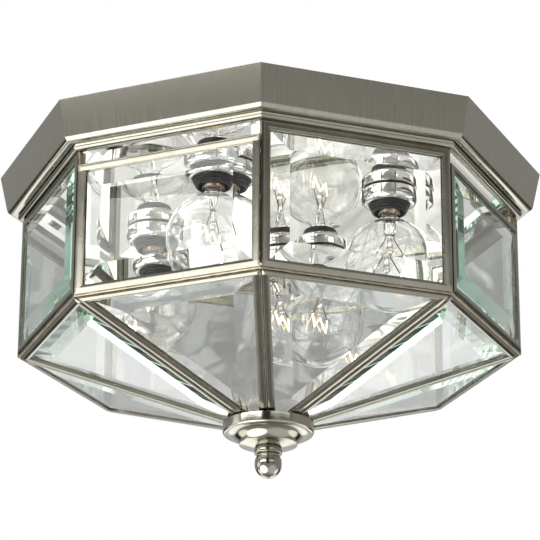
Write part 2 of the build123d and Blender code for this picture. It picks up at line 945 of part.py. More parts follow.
def make_splice_cap():
    inner = splice_cap_radius - splice_cap_wall
    well = splice_top - splice_lead_entry
    tip = splice_cap_radius - 2 * splice_cap_wall
    return turned_piece(
        (0, plate_top_z),
        (tip, plate_top_z),
        (splice_cap_radius, splice_top),
        (inner, splice_top),
        (inner, well),
        (0, well),
    )


# Writing the pieces

os.makedirs("parts", exist_ok=True)


def save(name, *solids):
    """Write one node: a single solid, or a group of separate ones."""
    shape = solids[0] if len(solids) == 1 else Compound(children=list(solids))
    export_step(shape, os.path.join("parts", name + ".step"))


save("canopy", make_canopy())
save("reflector_plate", make_reflector_plate())
save("mounting_crossbar", make_mounting_crossbar())
save("ground_screw", make_ground_screw())
save("center_rod", make_center_rod())
save("rod_nuts", *make_rod_nuts())
save("plate_washer", make_plate_washer())
save("socket_washers", *at_sockets(make_socket_washer()))
save("socket_cups", *at_sockets(make_socket_cup()))
save("socket_bodies", *at_sockets(make_socket_body()))
save("socket_shells", *at_sockets(make_socket_shell()))
save("socket_contacts", *at_sockets(make_socket_contact()))
save("socket_nuts", *at_sockets(make_socket_nut()))
save("hot_leads", *make_leads(1, hot_lead_depth))
save("neutral_leads", *make_leads(-1, neutral_lead_depth))
save("splice_caps", *[Pos(splice_place(way)) * make_splice_cap() for way in (1, -1)])

save("top_collar", make_top_collar())
tall_frame = make_upper_frame(frame_top_z, upper_outline)
vented_frame = make_upper_frame(frame_top_z - vent_height, vented_outline)
lower_frame = make_lower_frame()
upper_panes = (make_pane(upper_plane, upper_outline), make_pane(upper_plane, vented_outline))
lower_pane = make_pane(lower_plane, lower_outline)
for index in range(side_count):
    upper_pane = upper_panes[index % len(upper_panes)]
    save(f"upper_pane_{index + 1}", turned(upper_pane, side_angle(index)))
    save(f"lower_pane_{index + 1}", turned(lower_pane, side_angle(index)))
save("tall_frames", *[turned(tall_frame, side_angle(index)) for index in range(0, side_count, 2)])
save("vented_frames", *[turned(vented_frame, side_angle(index)) for index in range(1, side_count, 2)])
save("lower_frames", *[turned(lower_frame, side_angle(index)) for index in range(side_count)])
corner_solder = make_corner_solder()
rib_solder = make_rib_solder()
save("corner_solder", *[turned(corner_solder, corner_angle(index)) for index in range(side_count)])
save("rib_solder", *[turned(rib_solder, corner_angle(index)) for index in range(side_count)])
save("waist_bead", make_waist_bead())
save("bottom_hub", make_bottom_hub())
save("bottom_cap", make_bottom_cap())
save("finial_washer", make_finial_washer())
save("finial", make_finial())

bulb_pieces = {
    "glass": make_bulb_glass(),
    "base": make_bulb_base(),
    "contact": make_bulb_contact(),
    "filament": make_bulb_filament(),
}
for index, (angle, place) in enumerate(socket_places()):
    for piece, shape in bulb_pieces.items():
        save(f"bulb_{index + 1}_{piece}", Pos(place) * turned(shape, filament_turns[index]))
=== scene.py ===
import math

import bpy
from bpy.props import FloatProperty, FloatVectorProperty, PointerProperty
from bpy.types import Operator, Panel, PropertyGroup
from mathutils import Matrix, Vector, noise


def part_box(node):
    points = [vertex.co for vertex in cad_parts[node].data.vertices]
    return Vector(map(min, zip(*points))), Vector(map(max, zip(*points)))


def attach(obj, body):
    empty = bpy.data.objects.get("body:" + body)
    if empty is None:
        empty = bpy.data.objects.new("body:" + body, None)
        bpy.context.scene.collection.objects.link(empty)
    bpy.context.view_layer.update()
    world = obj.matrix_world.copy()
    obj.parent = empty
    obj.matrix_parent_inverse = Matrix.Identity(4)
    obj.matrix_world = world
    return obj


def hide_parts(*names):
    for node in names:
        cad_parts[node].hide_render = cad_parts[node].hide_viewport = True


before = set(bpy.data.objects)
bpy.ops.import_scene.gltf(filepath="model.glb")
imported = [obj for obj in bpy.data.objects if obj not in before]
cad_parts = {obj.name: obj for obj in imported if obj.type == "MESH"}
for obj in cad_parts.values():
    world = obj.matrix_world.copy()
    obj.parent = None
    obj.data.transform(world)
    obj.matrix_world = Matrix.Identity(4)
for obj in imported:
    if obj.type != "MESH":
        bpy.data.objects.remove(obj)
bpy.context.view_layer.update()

SIDES = 8
HALF_SIDE = math.pi / SIDES
CORNER = 1 / math.cos(HALF_SIDE)
SOCKETS = 4

# Degrees round the axis: where the first socket stands, and how each bulb's filament is turned
FIRST_SOCKET = -90 - 22.5
FILAMENT_TURNS = (65.0, 5.0, 60.0, 120.0)

# Rise of the bump that rolls a strip, as a share of the strip's width
STRIP_ROLL = 0.42
HEAD_ROLL = 0.55

# Light is reflected many times inside a pane's bevel before it leaves the glass
BOUNCES = 96
SENSOR_WIDTH = 36.0
FLOOR_WIDTH = 60
LAMP_AIM = Vector((0, 0, -0.08))

# Name, place, width, height and power of each softbox, and whether only reflections show it
SOFTBOXES = (
    ("key_softbox", (-1.2, -1.6, 0.1), 0.9, 1.2, 18, False),
    ("fill_softbox", (1.5, -1.3, -0.2), 0.8, 1.2, 8, False),
    ("left_strip_light", (-0.67, -0.74, 0.17), 1.0, 0.08, 1.8, True),
    ("right_strip_light", (0.53, -0.85, 0.17), 0.9, 0.08, 0.36, True),
)

# Brightness of the room for matt surfaces, and for metal and glass at its plain places and at its darkest
MATT_LEVEL = 0.7
ROOM_LEVEL = 0.44
ROOM_DARKEST = 0.02

# Direction, cosines of the inner and outer edge, and strength of each bright or dark patch that metal and
# glass show, and whether it has a twin on the other side
ROOM_PATCHES = (
    ((-0.58, -0.43, -0.69), 0.86, 0.83, 3.2, False),
    ((0.55, -0.42, -0.72), 0.90, 0.72, 0.5, False),
    ((0.74, 0.36, -0.57), 0.97, 0.94, 1.6, True),
    ((0.66, 0.70, -0.3), 0.98, 0.955, -0.42, True),
    ((0.28, 0.83, -0.48), 0.985, 0.965, 1.6, True),
    ((0.66, -0.66, 0.36), 0.97, 0.93, -0.25, True),
    ((0.0, 0.94, -0.35), 0.97, 0.86, 0.28, False),
    ((0.0, 0.94, 0.35), 0.995, 0.96, -0.12, False),
    ((-1.0, -0.05, 0.05), 0.985, 0.95, 1.5, False),
    ((0.0, -0.95, 0.28), 0.98, 0.93, -0.40, False),
    ((0.0, 0.55, -0.83), 0.985, 0.95, -0.18, False),
)

bl_info = {
    "name": "Octagonal ceiling light",
    "version": (1, 0, 0),
    "blender": (4, 5, 0),
    "location": "3D View > Sidebar > Ceiling light",
    "description": "Dresses an octagonal flush mount ceiling light with bevelled glass and globe bulbs",
    "category": "Object",
}


def size(label, about, metres):
    """A length that a user may change."""
    return FloatProperty(name=label, description=about, default=metres, unit="LENGTH", precision=5)


def bearing(label, about, degrees):
    """An angle that a user may change."""
    return FloatProperty(name=label, description=about, default=math.radians(degrees), subtype="ANGLE")


def colour(label, about, value):
    """A colour that a user may change."""
    return FloatVectorProperty(name=label, description=about, default=value, size=3, subtype="COLOR",
                               min=0.0, max=1.0)


class LightSizes(PropertyGroup):
    """Sizes of the pieces that are modelled here."""

    canopy_top: size("Canopy top width", "Across the flats at the ceiling", 0.292)
    canopy_lip: size("Canopy lip width", "Across the flats where the wall meets the underside", 0.2822)
    canopy_height: size("Canopy height", "From the ceiling to the underside", 0.0235)
    canopy_sheet: size("Canopy sheet", "Thickness of the sheet", 0.001)
    canopy_bend: size("Canopy bend", "Outer radius of the bend at the foot", 0.004)
    canopy_opening: size("Canopy opening", "Across the flats of the opening in the underside", 0.252)
    cage_width: size("Cage width", "Across the flats of the frames", 0.267)
    frame_depth: size("Frame depth", "Depth of the strips behind the panes' faces", 0.0048)
    strip_width: size("Strip width", "Width of the strips round a pane", 0.0047)
    top_strip: size("Top strip width", "Width of an upper pane's top strip", 0.004)
    rib_strip: size("Rib strip width", "Width of a lower pane's side strips", 0.0039)
    strip_crown: size("Strip crown", "How far a strip's edges fall behind its middle", 0.0004)
    side_height: size("Side height", "From the waist to the top of the tall frames", 0.0835)
    vent_height: size("Air slot", "How much lower every second upper frame is", 0.0068)
    lower_slope: bearing("Lower slope", "Fall of the lower panes", 19.8)
    hub_width: size("Hub width", "Across the flats of the hub", 0.028)
    corner_gap: size("Corner gap", "Between two frames at a corner", 0.0013)
    waist_gap: size("Waist gap", "Between upper and lower frames", 0.0024)
    groove_depth: size("Groove depth", "How far a pane reaches into its frame", 0.0022)
    groove_top: size("Groove top", "From the frame's face to the groove", 0.001284)
    groove_foot: size("Groove foot", "From the frame's face to the groove's far side", 0.0036)
    collar_round: size("Collar rounding", "Radius of the rail under the canopy", 0.0023)
    collar_depth: size("Collar depth", "How far the rail reaches in behind the frames' faces", 0.0025)
    collar_neck: size("Collar neck", "Height of the neck between the rail and a tall frame", 0.0014)
    collar_inset: size("Collar neck inset", "How far the neck is set back", 0.0012)
    cup_radius: size("Cup radius", "Outer radius of a socket cup", 0.016)
    cup_round: size("Cup rounding", "Radius of a socket cup's lower edge", 0.0038)
    cup_wall: size("Cup wall", "Sheet thickness of a socket cup", 0.0008)
    globe_radius: size("Globe radius", "Outer radius of a bulb's globe", 0.026)
    globe_drop: size("Globe drop", "From the reflector plate to a globe's centre", 0.0443)
    neck_radius: size("Neck radius", "Outer radius of a bulb's neck", 0.0057)
    neck_flare: size("Neck flare", "Radius of the hollow curve between neck and globe", 0.005)
    glass_wall: size("Bulb glass wall", "Thickness of a bulb's envelope", 0.0007)
    glow_start: size("Glow start", "Height where the filaments start to glow", -0.0612)
    glow_full: size("Glow full", "Height below which the filaments glow fully", -0.0626)
    socket_circle: size("Socket circle", "Radius of the circle that the sockets stand on", 0.0744)


class LightColours(PropertyGroup):
    """Colours of the finishes."""

    nickel: colour("Nickel", "Nickel of the canopy and the turned pieces", (0.42, 0.405, 0.34))
    nickel_dark: colour("Dark nickel", "Darker grain of that nickel", (0.345, 0.33, 0.272))
    strip: colour("Strip nickel", "Satin nickel of the frames and the rail", (0.345, 0.33, 0.276))
    strip_dark: colour("Dark strip nickel", "Darker clouds of the frames and the rail", (0.27, 0.256, 0.208))
    chrome: colour("Chrome", "Socket cups", (0.68, 0.67, 0.66))
    mirror: colour("Mirror", "Reflector plate", (0.85, 0.835, 0.79))
    pane: colour("Pane glass", "Tint of the bevelled panes", (0.99, 0.99, 0.98))
    pane_depth: colour("Pane depth", "Green of the panes through their depth", (0.55, 0.92, 0.74))
    bulb: colour("Bulb glass", "Tint of the bulbs", (0.99, 0.99, 0.99))
    copper: colour("Bulb base", "Screw bases of the bulbs", (0.46, 0.33, 0.22))
    glow: colour("Filament glow", "Light of the filaments", (1.0, 0.58, 0.22))
    glow_hot: colour("Hot filament glow", "Light of the filaments' hottest spots", (1.0, 0.72, 0.40))
    floor: colour("Floor", "Floor of the stage", (0.82, 0.82, 0.82))


class StageSettings(PropertyGroup):
    """Camera and floor."""

    lens: FloatProperty(name="Lens", description="Focal length of the camera", default=174.77, unit="CAMERA")
    distance: size("Camera distance", "From the camera to the point it looks at", 1.5157)
    elevation: bearing("Elevation", "Height angle of the camera", -20.56)
    azimuth: bearing("Azimuth", "Turn of the camera round the light", 1.719)
    roll: bearing("Roll", "Tilt of the camera", 0.245)
    aim_x: size("Aim sideways", "Point that the camera looks at", 0.00055)
    aim_z: size("Aim height", "Point that the camera looks at", -0.05846)
    floor_z: size("Floor height", "Floor below the ceiling", -1.6)


# Shader arithmetic

class Shade:
    """One output of a node; arithmetic on it adds Math nodes."""

    def __init__(self, nodes, socket):
        self.nodes = nodes
        self.socket = socket

    def math(self, operation, other=0.0):
        return self.nodes.add("ShaderNodeMath", {"operation": operation}, {0: self, 1: other})

    def __add__(self, other):
        return self.math("ADD", other)

    __radd__ = __add__

    def __mul__(self, other):
        return self.math("MULTIPLY", other)

    __rmul__ = __mul__


class Nodes:
    """The nodes of a material or of the surroundings."""

    def __init__(self, owner, output):
        owner.use_nodes = True
        self.tree = owner.node_tree
        self.tree.nodes.clear()
        self.output = self.tree.nodes.new(output)

    def add(self, kind, settings=None, inputs=None, output=0):
        """Add a node, set it up, feed its sockets and return one of its outputs."""
        node = self.tree.nodes.new(kind)
        for key, value in (settings or {}).items():
            if key == "stops":
                self.set_stops(node.color_ramp, value)
            else:
                setattr(node, key, value)
        for key, value in (inputs or {}).items():
            if isinstance(value, Shade):
                self.tree.links.new(value.socket, node.inputs[key])
            else:
                node.inputs[key].default_value = value
        return Shade(self, node.outputs[output])

    @staticmethod
    def set_stops(ramp, stops):
        while len(ramp.elements) < len(stops):
            ramp.elements.new(1.0)
        for element, (place, value) in zip(ramp.elements, stops):
            element.position = place
            element.color = (value, value, value, 1.0)

    def end(self, **shaders):
        """Feed the sockets of the output node."""
        for key, shader in shaders.items():
            self.tree.links.new(shader.socket, self.output.inputs[key])


class Finish(Nodes):
    """A material built from nodes."""

    def __init__(self, name):
        self.material = bpy.data.materials.new(name)
        super().__init__(self.material, "ShaderNodeOutputMaterial")

    def place(self, scale=(1, 1, 1), source="Object"):
        """Coordinates of the piece, scaled."""
        coordinates = self.add("ShaderNodeTexCoord", output=source)
        return self.add("ShaderNodeMapping", None, {"Vector": coordinates, "Scale": scale})

    def along(self, axis, vector=None):
        """One part of a vector, or of the place on the piece."""
        return self.add("ShaderNodeSeparateXYZ", None, {0: vector or self.place()}, axis)

    def noise(self, scale, detail=3.0, roughness=0.5, place=None):
        return self.add("ShaderNodeTexNoise", None, {
            "Vector": place or self.place(), "Scale": scale, "Detail": detail, "Roughness": roughness})

    def mix(self, factor, first, second):
        """Mix two colours."""
        first, second = (value if isinstance(value, Shade) else rgba(value) for value in (first, second))
        return self.add("ShaderNodeMix", {"data_type": "RGBA"}, {0: factor, 6: first, 7: second}, output=2)

    def ramp(self, value, *stops):
        return self.add("ShaderNodeValToRGB", {"stops": stops}, {"Fac": value})

    def bump(self, height, strength, distance, under=None):
        """Bumped normals, on top of another bump where one is given."""
        inputs = {"Height": height, "Strength": strength, "Distance": distance}
        if under is not None:
            inputs["Normal"] = under
        return self.add("ShaderNodeBump", None, inputs)

    def shader(self, **inputs):
        """A Principled shader; words in the sockets' names are joined by underscores."""
        named = {key.replace("_", " "): value for key, value in inputs.items()}
        return self.add("ShaderNodeBsdfPrincipled", None, named)

    def surface(self, **inputs):
        """Finish with one Principled shader."""
        self.end(Surface=self.shader(**inputs))
        return self.material


def rgba(value):
    """A colour as a socket value."""
    return (*value, 1.0)


FINISHES = {}


def finish_once(maker):
    """Make a material at its first use, named for its maker, and keep it."""
    def wrapped():
        name = maker.__name__
        if name not in FINISHES:
            FINISHES[name] = maker(Finish(name), bpy.context.scene.light_colours)
        return FINISHES[name]
    return wrapped


@finish_once
def canopy_nickel(finish, colours):
    """Nickel brushed up and down the canopy's faces."""
    grain = finish.noise(1.0, 4.0, 0.6, finish.place((1400, 22, 1), "UV"))
    clouds = finish.noise(14.0, 2.0)
    tone = finish.ramp(grain * 0.75 + clouds * 0.25, (0.35, 0.0), (0.65, 1.0))
    return finish.surface(
        Base_Color=finish.mix(tone, colours.nickel_dark, colours.nickel),
        Metallic=1.0,
        Roughness=0.15 + 0.08 * grain,
        Normal=finish.bump(grain, 0.06, 0.0002),
    )


def satin_nickel(finish, colours, *rolls):
    """Satin nickel, a little uneven from hand work.

    Each roll gives two heights and a rise; the bump between them makes a strip look turned.
    """
    fine = finish.noise(900.0, 3.0, 0.65)
    clouds = finish.noise(45.0, 3.0)
    tone = finish.ramp(fine * 0.4 + clouds * 0.6, (0.35, 0.0), (0.65, 1.0))
    normal = finish.bump(clouds * 0.7 + fine * 0.3, 0.10, 0.0006)
    for start, end, rise in rolls:
        roll = finish.add("ShaderNodeMapRange", None, {
            "Value": finish.along("Z"), "From Min": start, "From Max": end, "To Max": rise})
        normal = finish.bump(roll, 1.0, 1.0, normal)
    return finish.surface(
        Base_Color=finish.mix(tone, colours.strip_dark, colours.strip),
        Metallic=1.0,
        Roughness=0.16 + 0.12 * clouds,
        Normal=normal,
    )


def waist_height(sizes):
    """Where the upper and the lower frames meet."""
    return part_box("tall_frames")[1][2] - sizes.side_height


def waist_roll(sizes):
    """The roll of the upper frames' strips at the waist."""
    waist = waist_height(sizes)
    return waist, waist + sizes.strip_width, STRIP_ROLL * sizes.strip_width


@finish_once
def strip_nickel(finish, colours):
    """Nickel of the rail, the hub, the finial's washer and the tall frames."""
    return satin_nickel(finish, colours, waist_roll(bpy.context.scene.light_sizes))


@finish_once
def vented_nickel(finish, colours):
    """Nickel of the frames below the air slots, whose top strips are rolled too."""
    sizes = bpy.context.scene.light_sizes
    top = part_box("vented_frames")[1][2]
    head = (top - sizes.top_strip, top, STRIP_ROLL * sizes.top_strip)
    return satin_nickel(finish, colours, waist_roll(sizes), head)


@finish_once
def sloping_nickel(finish, colours):
    """Nickel of the lower frames, whose head strips are rolled towards the waist."""
    sizes = bpy.context.scene.light_sizes
    waist = waist_height(sizes)
    fall = sizes.strip_width * math.sin(sizes.lower_slope)
    return satin_nickel(finish, colours, (waist, waist - fall, HEAD_ROLL * sizes.strip_width))


@finish_once
def turned_nickel(finish, colours):
    """Nickel of the turned cap and finial, with fine lathe lines."""
    lines = finish.noise(1.0, 2.0, 0.5, finish.place((4, 4, 900)))
    clouds = finish.noise(60.0, 2.0)
    return finish.surface(
        Base_Color=finish.mix(lines * 0.6 + clouds * 0.4, colours.nickel_dark, colours.nickel),
        Metallic=1.0,
        Roughness=0.11 + 0.08 * lines,
        Normal=finish.bump(lines, 0.05, 0.0002),
    )


@finish_once
def reflector_mirror(finish, colours):
    """Bright plate with faint wipe marks."""
    marks = finish.noise(1.0, 3.0, 0.5, finish.place((30, 160, 30)))
    return finish.surface(
        Base_Color=rgba(colours.mirror),
        Metallic=1.0,
        Roughness=0.01 + 0.03 * marks,
        Normal=finish.bump(finish.noise(9.0, 1.0), 0.01, 0.002),
    )


@finish_once
def cup_chrome(finish, colours):
    """Polished chrome of the socket cups."""
    smears = finish.noise(120.0, 3.0)
    return finish.surface(Base_Color=rgba(colours.chrome), Metallic=1.0, Roughness=0.03 + 0.07 * smears)


def plate_glass(finish, colours, outward, upward):
    """Clear plate glass, green through its depth, with ground edges that carry a painted glow: a faint
    emission that stands in for light they pass on.

    outward and upward are the parts of a pane's facing, away from the axis and up. A face that is turned
    between 60 and 120 degrees from it is an edge.
    """
    density = 9.0
    edge_limit = math.cos(math.radians(60)) ** 2
    ground_colours = (0.88, 0.96, 0.92), (0.96, 0.99, 0.97)
    # Painted light: colours of the faint glow given to the ground edges, standing in for light they pass on
    painted_edge_glow = (0.62, 0.76, 0.68), (0.80, 0.88, 0.83)
    ripple = finish.noise(25.0, 1.0)
    grit = finish.noise(300.0, 3.0)
    around = finish.along("Y").math("ARCTAN2", finish.along("X"))
    turn = around.math("SNAP", 2 * HALF_SIDE) + HALF_SIDE
    normal = finish.add("ShaderNodeNewGeometry", output="True Normal")
    east, north, up = (finish.along(axis, normal) for axis in "XYZ")
    lie = (east * turn.math("COSINE") + north * turn.math("SINE")) * outward + up * upward
    clear = finish.shader(
        Base_Color=rgba(colours.pane),
        Roughness=0.0,
        IOR=1.5,
        Transmission_Weight=1.0,
        Normal=finish.bump(ripple, 0.004, 0.001),
    )
    ground = finish.shader(
        Base_Color=finish.mix(grit, *ground_colours),
        Roughness=0.6,
        # Painted glow on the ground edges
        Emission_Color=finish.mix(grit, *painted_edge_glow),
        Emission_Strength=0.8,
    )
    edge = (lie * lie).math("LESS_THAN", edge_limit)
    depth = finish.add("ShaderNodeVolumeAbsorption", None,
                       {"Color": rgba(colours.pane_depth), "Density": density})
    finish.end(Surface=finish.add("ShaderNodeMixShader", None, {0: edge, 1: clear, 2: ground}), Volume=depth)
    return finish.material


@finish_once
def upright_glass(finish, colours):
    """Glass of the upper panes."""
    return plate_glass(finish, colours, 1.0, 0.0)


@finish_once
def sloping_glass(finish, colours):
    """Glass of the lower panes."""
    slope = bpy.context.scene.light_sizes.lower_slope
    return plate_glass(finish, colours, math.sin(slope), -math.cos(slope))


@finish_once
def bulb_glass(finish, colours):
    """Thin blown glass."""
    return finish.surface(
        Base_Color=rgba(colours.bulb),
        Roughness=0.0,
        IOR=1.48,
        Transmission_Weight=1.0,
        Normal=finish.bump(finish.noise(60.0, 1.0), 0.008, 0.0006),
    )


@finish_once
def filament_glow(finish, colours):
    """Glowing tungsten; the cooler lead wires share it."""
    sizes = bpy.context.scene.light_sizes
    heat = finish.noise(900.0, 1.0)
    lit = finish.add("ShaderNodeMapRange", None, {
        "Value": finish.along("Z"), "From Min": sizes.glow_start, "From Max": sizes.glow_full})
    glow = finish.mix(heat, colours.glow, colours.glow_hot)
    material = finish.surface(
        Base_Color=finish.mix(heat, (0.20, 0.15, 0.10), (0.34, 0.27, 0.19)),
        Metallic=0.8,
        Roughness=0.4 + 0.2 * heat,
        Emission_Color=finish.mix(lit, (0, 0, 0), glow),
        Emission_Strength=16.0,
    )
    material.cycles.emission_sampling = "NONE"
    return material


@finish_once
def zinc_steel(finish, colours):
    """Zinc plated steel of the hidden hardware."""
    spangle = finish.add("ShaderNodeTexVoronoi", None, {"Vector": finish.place(), "Scale": 420.0}, "Distance")
    return finish.surface(
        Base_Color=finish.mix(spangle, (0.62, 0.63, 0.65), (0.45, 0.46, 0.48)),
        Metallic=1.0,
        Roughness=0.3 + 0.2 * spangle,
    )


def worn(finish, dark, light, grain, rough, metallic=0.0, bump=None):
    """A finish that drifts between two colours and is rougher where it is lighter.

    grain is for the noise: scale, detail and roughness. rough is the least roughness and how much is added,
    and bump, where there is one, its strength and depth.
    """
    marks = finish.noise(*grain)
    least, added = rough
    inputs = {"Base_Color": finish.mix(marks, dark, light), "Metallic": metallic,
              "Roughness": least + added * marks}
    if bump:
        inputs["Normal"] = finish.bump(marks, *bump)
    return finish.surface(**inputs)


@finish_once
def black_moulding(finish, colours):
    """Moulded black of the socket bodies and washers."""
    return worn(finish, (0.010, 0.010, 0.010), (0.028, 0.027, 0.026), grain=(800.0, 2.0), rough=(0.32, 0.2),
                bump=(0.1, 0.0002))


@finish_once
def base_copper(finish, colours):
    """Stamped, slightly coppery brass of the bulb bases."""
    stained = [0.7 * part for part in colours.copper]
    return worn(finish, stained, colours.copper, grain=(260.0, 4.0, 0.6), rough=(0.22, 0.2), metallic=1.0)


@finish_once
def green_screw(finish, colours):
    """Green passivated ground screw."""
    return worn(finish, (0.03, 0.16, 0.05), (0.06, 0.30, 0.10), grain=(500.0, 3.0), rough=(0.35, 0.2),
                metallic=0.7)


@finish_once
def contact_brass(finish, colours):
    """Stamped brass of the socket shells and contacts."""
    return worn(finish, (0.45, 0.30, 0.10), (0.62, 0.45, 0.18), grain=(300.0, 3.0), rough=(0.25, 0.2),
                metallic=1.0)


@finish_once
def black_insulation(finish, colours):
    """Smooth black of the hot leads."""
    return worn(finish, (0.012, 0.012, 0.012), (0.03, 0.03, 0.03), grain=(350.0, 2.0), rough=(0.35, 0.2))


@finish_once
def white_insulation(finish, colours):
    """Smooth white of the neutral leads."""
    return worn(finish, (0.68, 0.67, 0.63), (0.80, 0.79, 0.76), grain=(350.0, 2.0), rough=(0.35, 0.2))


@finish_once
def ivory_plastic(finish, colours):
    """Ivory of the splice caps."""
    return worn(finish, (0.60, 0.54, 0.42), (0.72, 0.66, 0.54), grain=(350.0, 2.0), rough=(0.35, 0.2))


@finish_once
def solder_metal(finish, colours):
    """Hand-run solder, dull and lumpy."""
    return worn(finish, (0.16, 0.13, 0.09), (0.60, 0.53, 0.38), grain=(220.0, 3.0, 0.6), rough=(0.22, 0.3),
                metallic=1.0, bump=(0.35, 0.0008))


@finish_once
def pale_floor(finish, colours):
    """Plain matt floor of the stage."""
    return finish.surface(Base_Color=rgba(colours.floor), Roughness=0.9)


# Modelling helpers

def deselect():
    bpy.ops.object.select_all(action="DESELECT")


def activate(piece):
    deselect()
    piece.select_set(True)
    bpy.context.view_layer.objects.active = piece


def rename(piece, name):
    """Name an object and its mesh."""
    piece.name = name
    piece.data.name = name


def put_on(piece, material):
    """Give a piece its finish."""
    piece.data.materials.clear()
    piece.data.materials.append(material)


def dress(material, *nodes):
    """Give carried-over solids their finish."""
    for node in nodes:
        put_on(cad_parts[node], material)


def hand_over(piece, material, body, node):
    """Finish a piece, hang it on its body and hide the solids that it stands for."""
    put_on(piece, material)
    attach(piece, body)
    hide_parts(node)


def arc_points(centre, radius, start, end, steps):
    """Points on an arc of a profile; the angles are in degrees from outwards, up is positive."""
    points = []
    for step in range(steps + 1):
        angle = math.radians(start + (end - start) * step / steps)
        points.append((centre[0] + radius * math.cos(angle), centre[1] + radius * math.sin(angle)))
    return points


def at_corners(section):
    """Carry a section's distances from an octagon's flats out to its corners."""
    return [(reach * CORNER, height) for reach, height in section]


def start_ring(name, sides, radius, height=0.0, turn=0.0):
    """Add a ring of edges, its place kept in its mesh, and open it for editing with all of it selected."""
    deselect()
    bpy.ops.mesh.primitive_circle_add(vertices=sides, radius=radius, location=(0, 0, height),
                                      rotation=(0, 0, turn))
    piece = bpy.context.active_object
    rename(piece, name)
    bpy.ops.object.transform_apply(location=True, rotation=True, scale=True)
    bpy.ops.object.mode_set(mode="EDIT")
    bpy.ops.mesh.select_mode(type="EDGE")
    bpy.ops.mesh.select_all(action="SELECT")
    return piece


def extrude_by(rise):
    """Extrude the selected edges straight up, or down where the rise is negative."""
    bpy.ops.mesh.extrude_edges_move(TRANSFORM_OT_translate={"value": (0, 0, rise)})


def select_open_edges():
    bpy.ops.mesh.select_non_manifold(extend=False, use_wire=False, use_boundary=True,
                                     use_multi_face=False, use_non_contiguous=False, use_verts=False)


def end_edit(inside=False):
    """Turn all faces outwards, or inwards for a hollow, and leave edit mode."""
    bpy.ops.mesh.select_mode(type="VERT")
    bpy.ops.mesh.select_all(action="SELECT")
    bpy.ops.mesh.normals_make_consistent(inside=inside)
    bpy.ops.object.mode_set(mode="OBJECT")


def ring_profile(name, profile, sides, inside=False):
    """Shape a closed piece by carrying a ring of edges along a profile of (radius, height) points.

    A radius of 0 at either end closes that end on the axis; otherwise the last ring joins the first.
    """
    start_pole = profile[0][0] == 0
    end_pole = profile[-1][0] == 0
    rings = profile[1 if start_pole else 0:len(profile) - (1 if end_pole else 0)]
    radius, height = rings[0]
    piece = start_ring(name, sides, radius, height)
    if start_pole:
        extrude_by(profile[0][1] - height)
        bpy.ops.mesh.merge(type="CENTER")
        bpy.ops.mesh.select_all(action="DESELECT")
        select_open_edges()
    for next_radius, next_height in rings[1:]:
        extrude_by(next_height - height)
        scale = next_radius / radius
        bpy.ops.transform.resize(value=(scale, scale, 1), center_override=(0, 0, next_height))
        radius, height = next_radius, next_height
    if end_pole:
        extrude_by(profile[-1][1] - height)
        bpy.ops.mesh.merge(type="CENTER")
    else:
        select_open_edges()
        bpy.ops.mesh.bridge_edge_loops()
    end_edit(inside)
    return piece


def smooth(piece, degrees):
    """Shade a piece smooth, apart from creases sharper than the angle."""
    activate(piece)
    bpy.ops.object.shade_smooth_by_angle(angle=math.radians(degrees))


def join(name, pieces):
    """Join pieces into one object."""
    deselect()
    for piece in pieces:
        piece.select_set(True)
    bpy.context.view_layer.objects.active = pieces[0]
    bpy.ops.object.join()
    rename(pieces[0], name)
    return pieces[0]


def copy_to(piece, turn, place):
    """A copy with its own mesh, turned about the axis and moved, its place kept in the mesh."""
    activate(piece)
    bpy.ops.object.duplicate(linked=False)
    twin = bpy.context.active_object
    twin.data.transform(Matrix.Translation(place) @ Matrix.Rotation(turn, 4, "Z"))
    return twin


def remove(piece):
    activate(piece)
    bpy.ops.object.delete()


def copies_of(piece, places):
    """Copies of a piece, one for each turn and place; the model is used up."""
    copies = [copy_to(piece, turn, place) for turn, place in places]
    remove(piece)
    return copies


def turned(turns):
    """Turns about the light's axis, with no move."""
    return [(turn, Vector((0, 0, 0))) for turn in turns]


def side_turns(sides):
    """How far each of these sides is turned, the first being the side right of the front corner."""
    return [(2 * side + 1) * HALF_SIDE - math.pi / 2 for side in sides]


def socket_places():
    """Turn and centre of each socket, in the order of the bulbs."""
    circle = bpy.context.scene.light_sizes.socket_circle
    places = []
    for index in range(SOCKETS):
        angle = math.radians(FIRST_SOCKET + 360 / SOCKETS * index)
        places.append((angle, Vector((circle * math.cos(angle), circle * math.sin(angle), 0))))
    return places


def strip_ring(name, section, corners):
    """Carry a four-cornered ring along a strip's closed section.

    Each entry of the section gives the insets of the sides, the foot and the head, and the depth; corners()
    turns them and the signs of a corner into a place.
    """
    piece = start_ring(name, 4, 1.0, turn=math.pi / 4)
    for _ in section[1:]:
        extrude_by(1)
    select_open_edges()
    bpy.ops.mesh.bridge_edge_loops()
    bpy.ops.object.mode_set(mode="OBJECT")
    mesh = piece.data
    levels = [round(vertex.co.z) for vertex in mesh.vertices]
    for edge in mesh.edges:
        edge.use_edge_sharp = levels[edge.vertices[0]] != levels[edge.vertices[1]]
    for vertex, level in zip(mesh.vertices, levels):
        vertex.co = corners(math.copysign(1, vertex.co.x), math.copysign(1, vertex.co.y), *section[level])
    activate(piece)
    bpy.ops.object.mode_set(mode="EDIT")
    end_edit()
    smooth(piece, 35)
    return piece


def octagon_uv(piece):
    """Unroll an octagonal ring: along the perimeter, and along the profile."""
    mesh = piece.data
    layer = mesh.uv_layers[0] if mesh.uv_layers else mesh.uv_layers.new(name="unrolled")
    for polygon in mesh.polygons:
        angle = math.atan2(polygon.center.y, polygon.center.x)
        side = round((angle / HALF_SIDE - 1) / 2)
        facing = (2 * side + 1) * HALF_SIDE
        outward = Vector((math.cos(facing), math.sin(facing), 0))
        along = Vector((-math.sin(facing), math.cos(facing), 0))
        for loop in polygon.loop_indices:
            point = mesh.vertices[mesh.loops[loop].vertex_index].co
            layer.data[loop].uv = (point.dot(along) + side, point.z + point.dot(outward))


# Operators

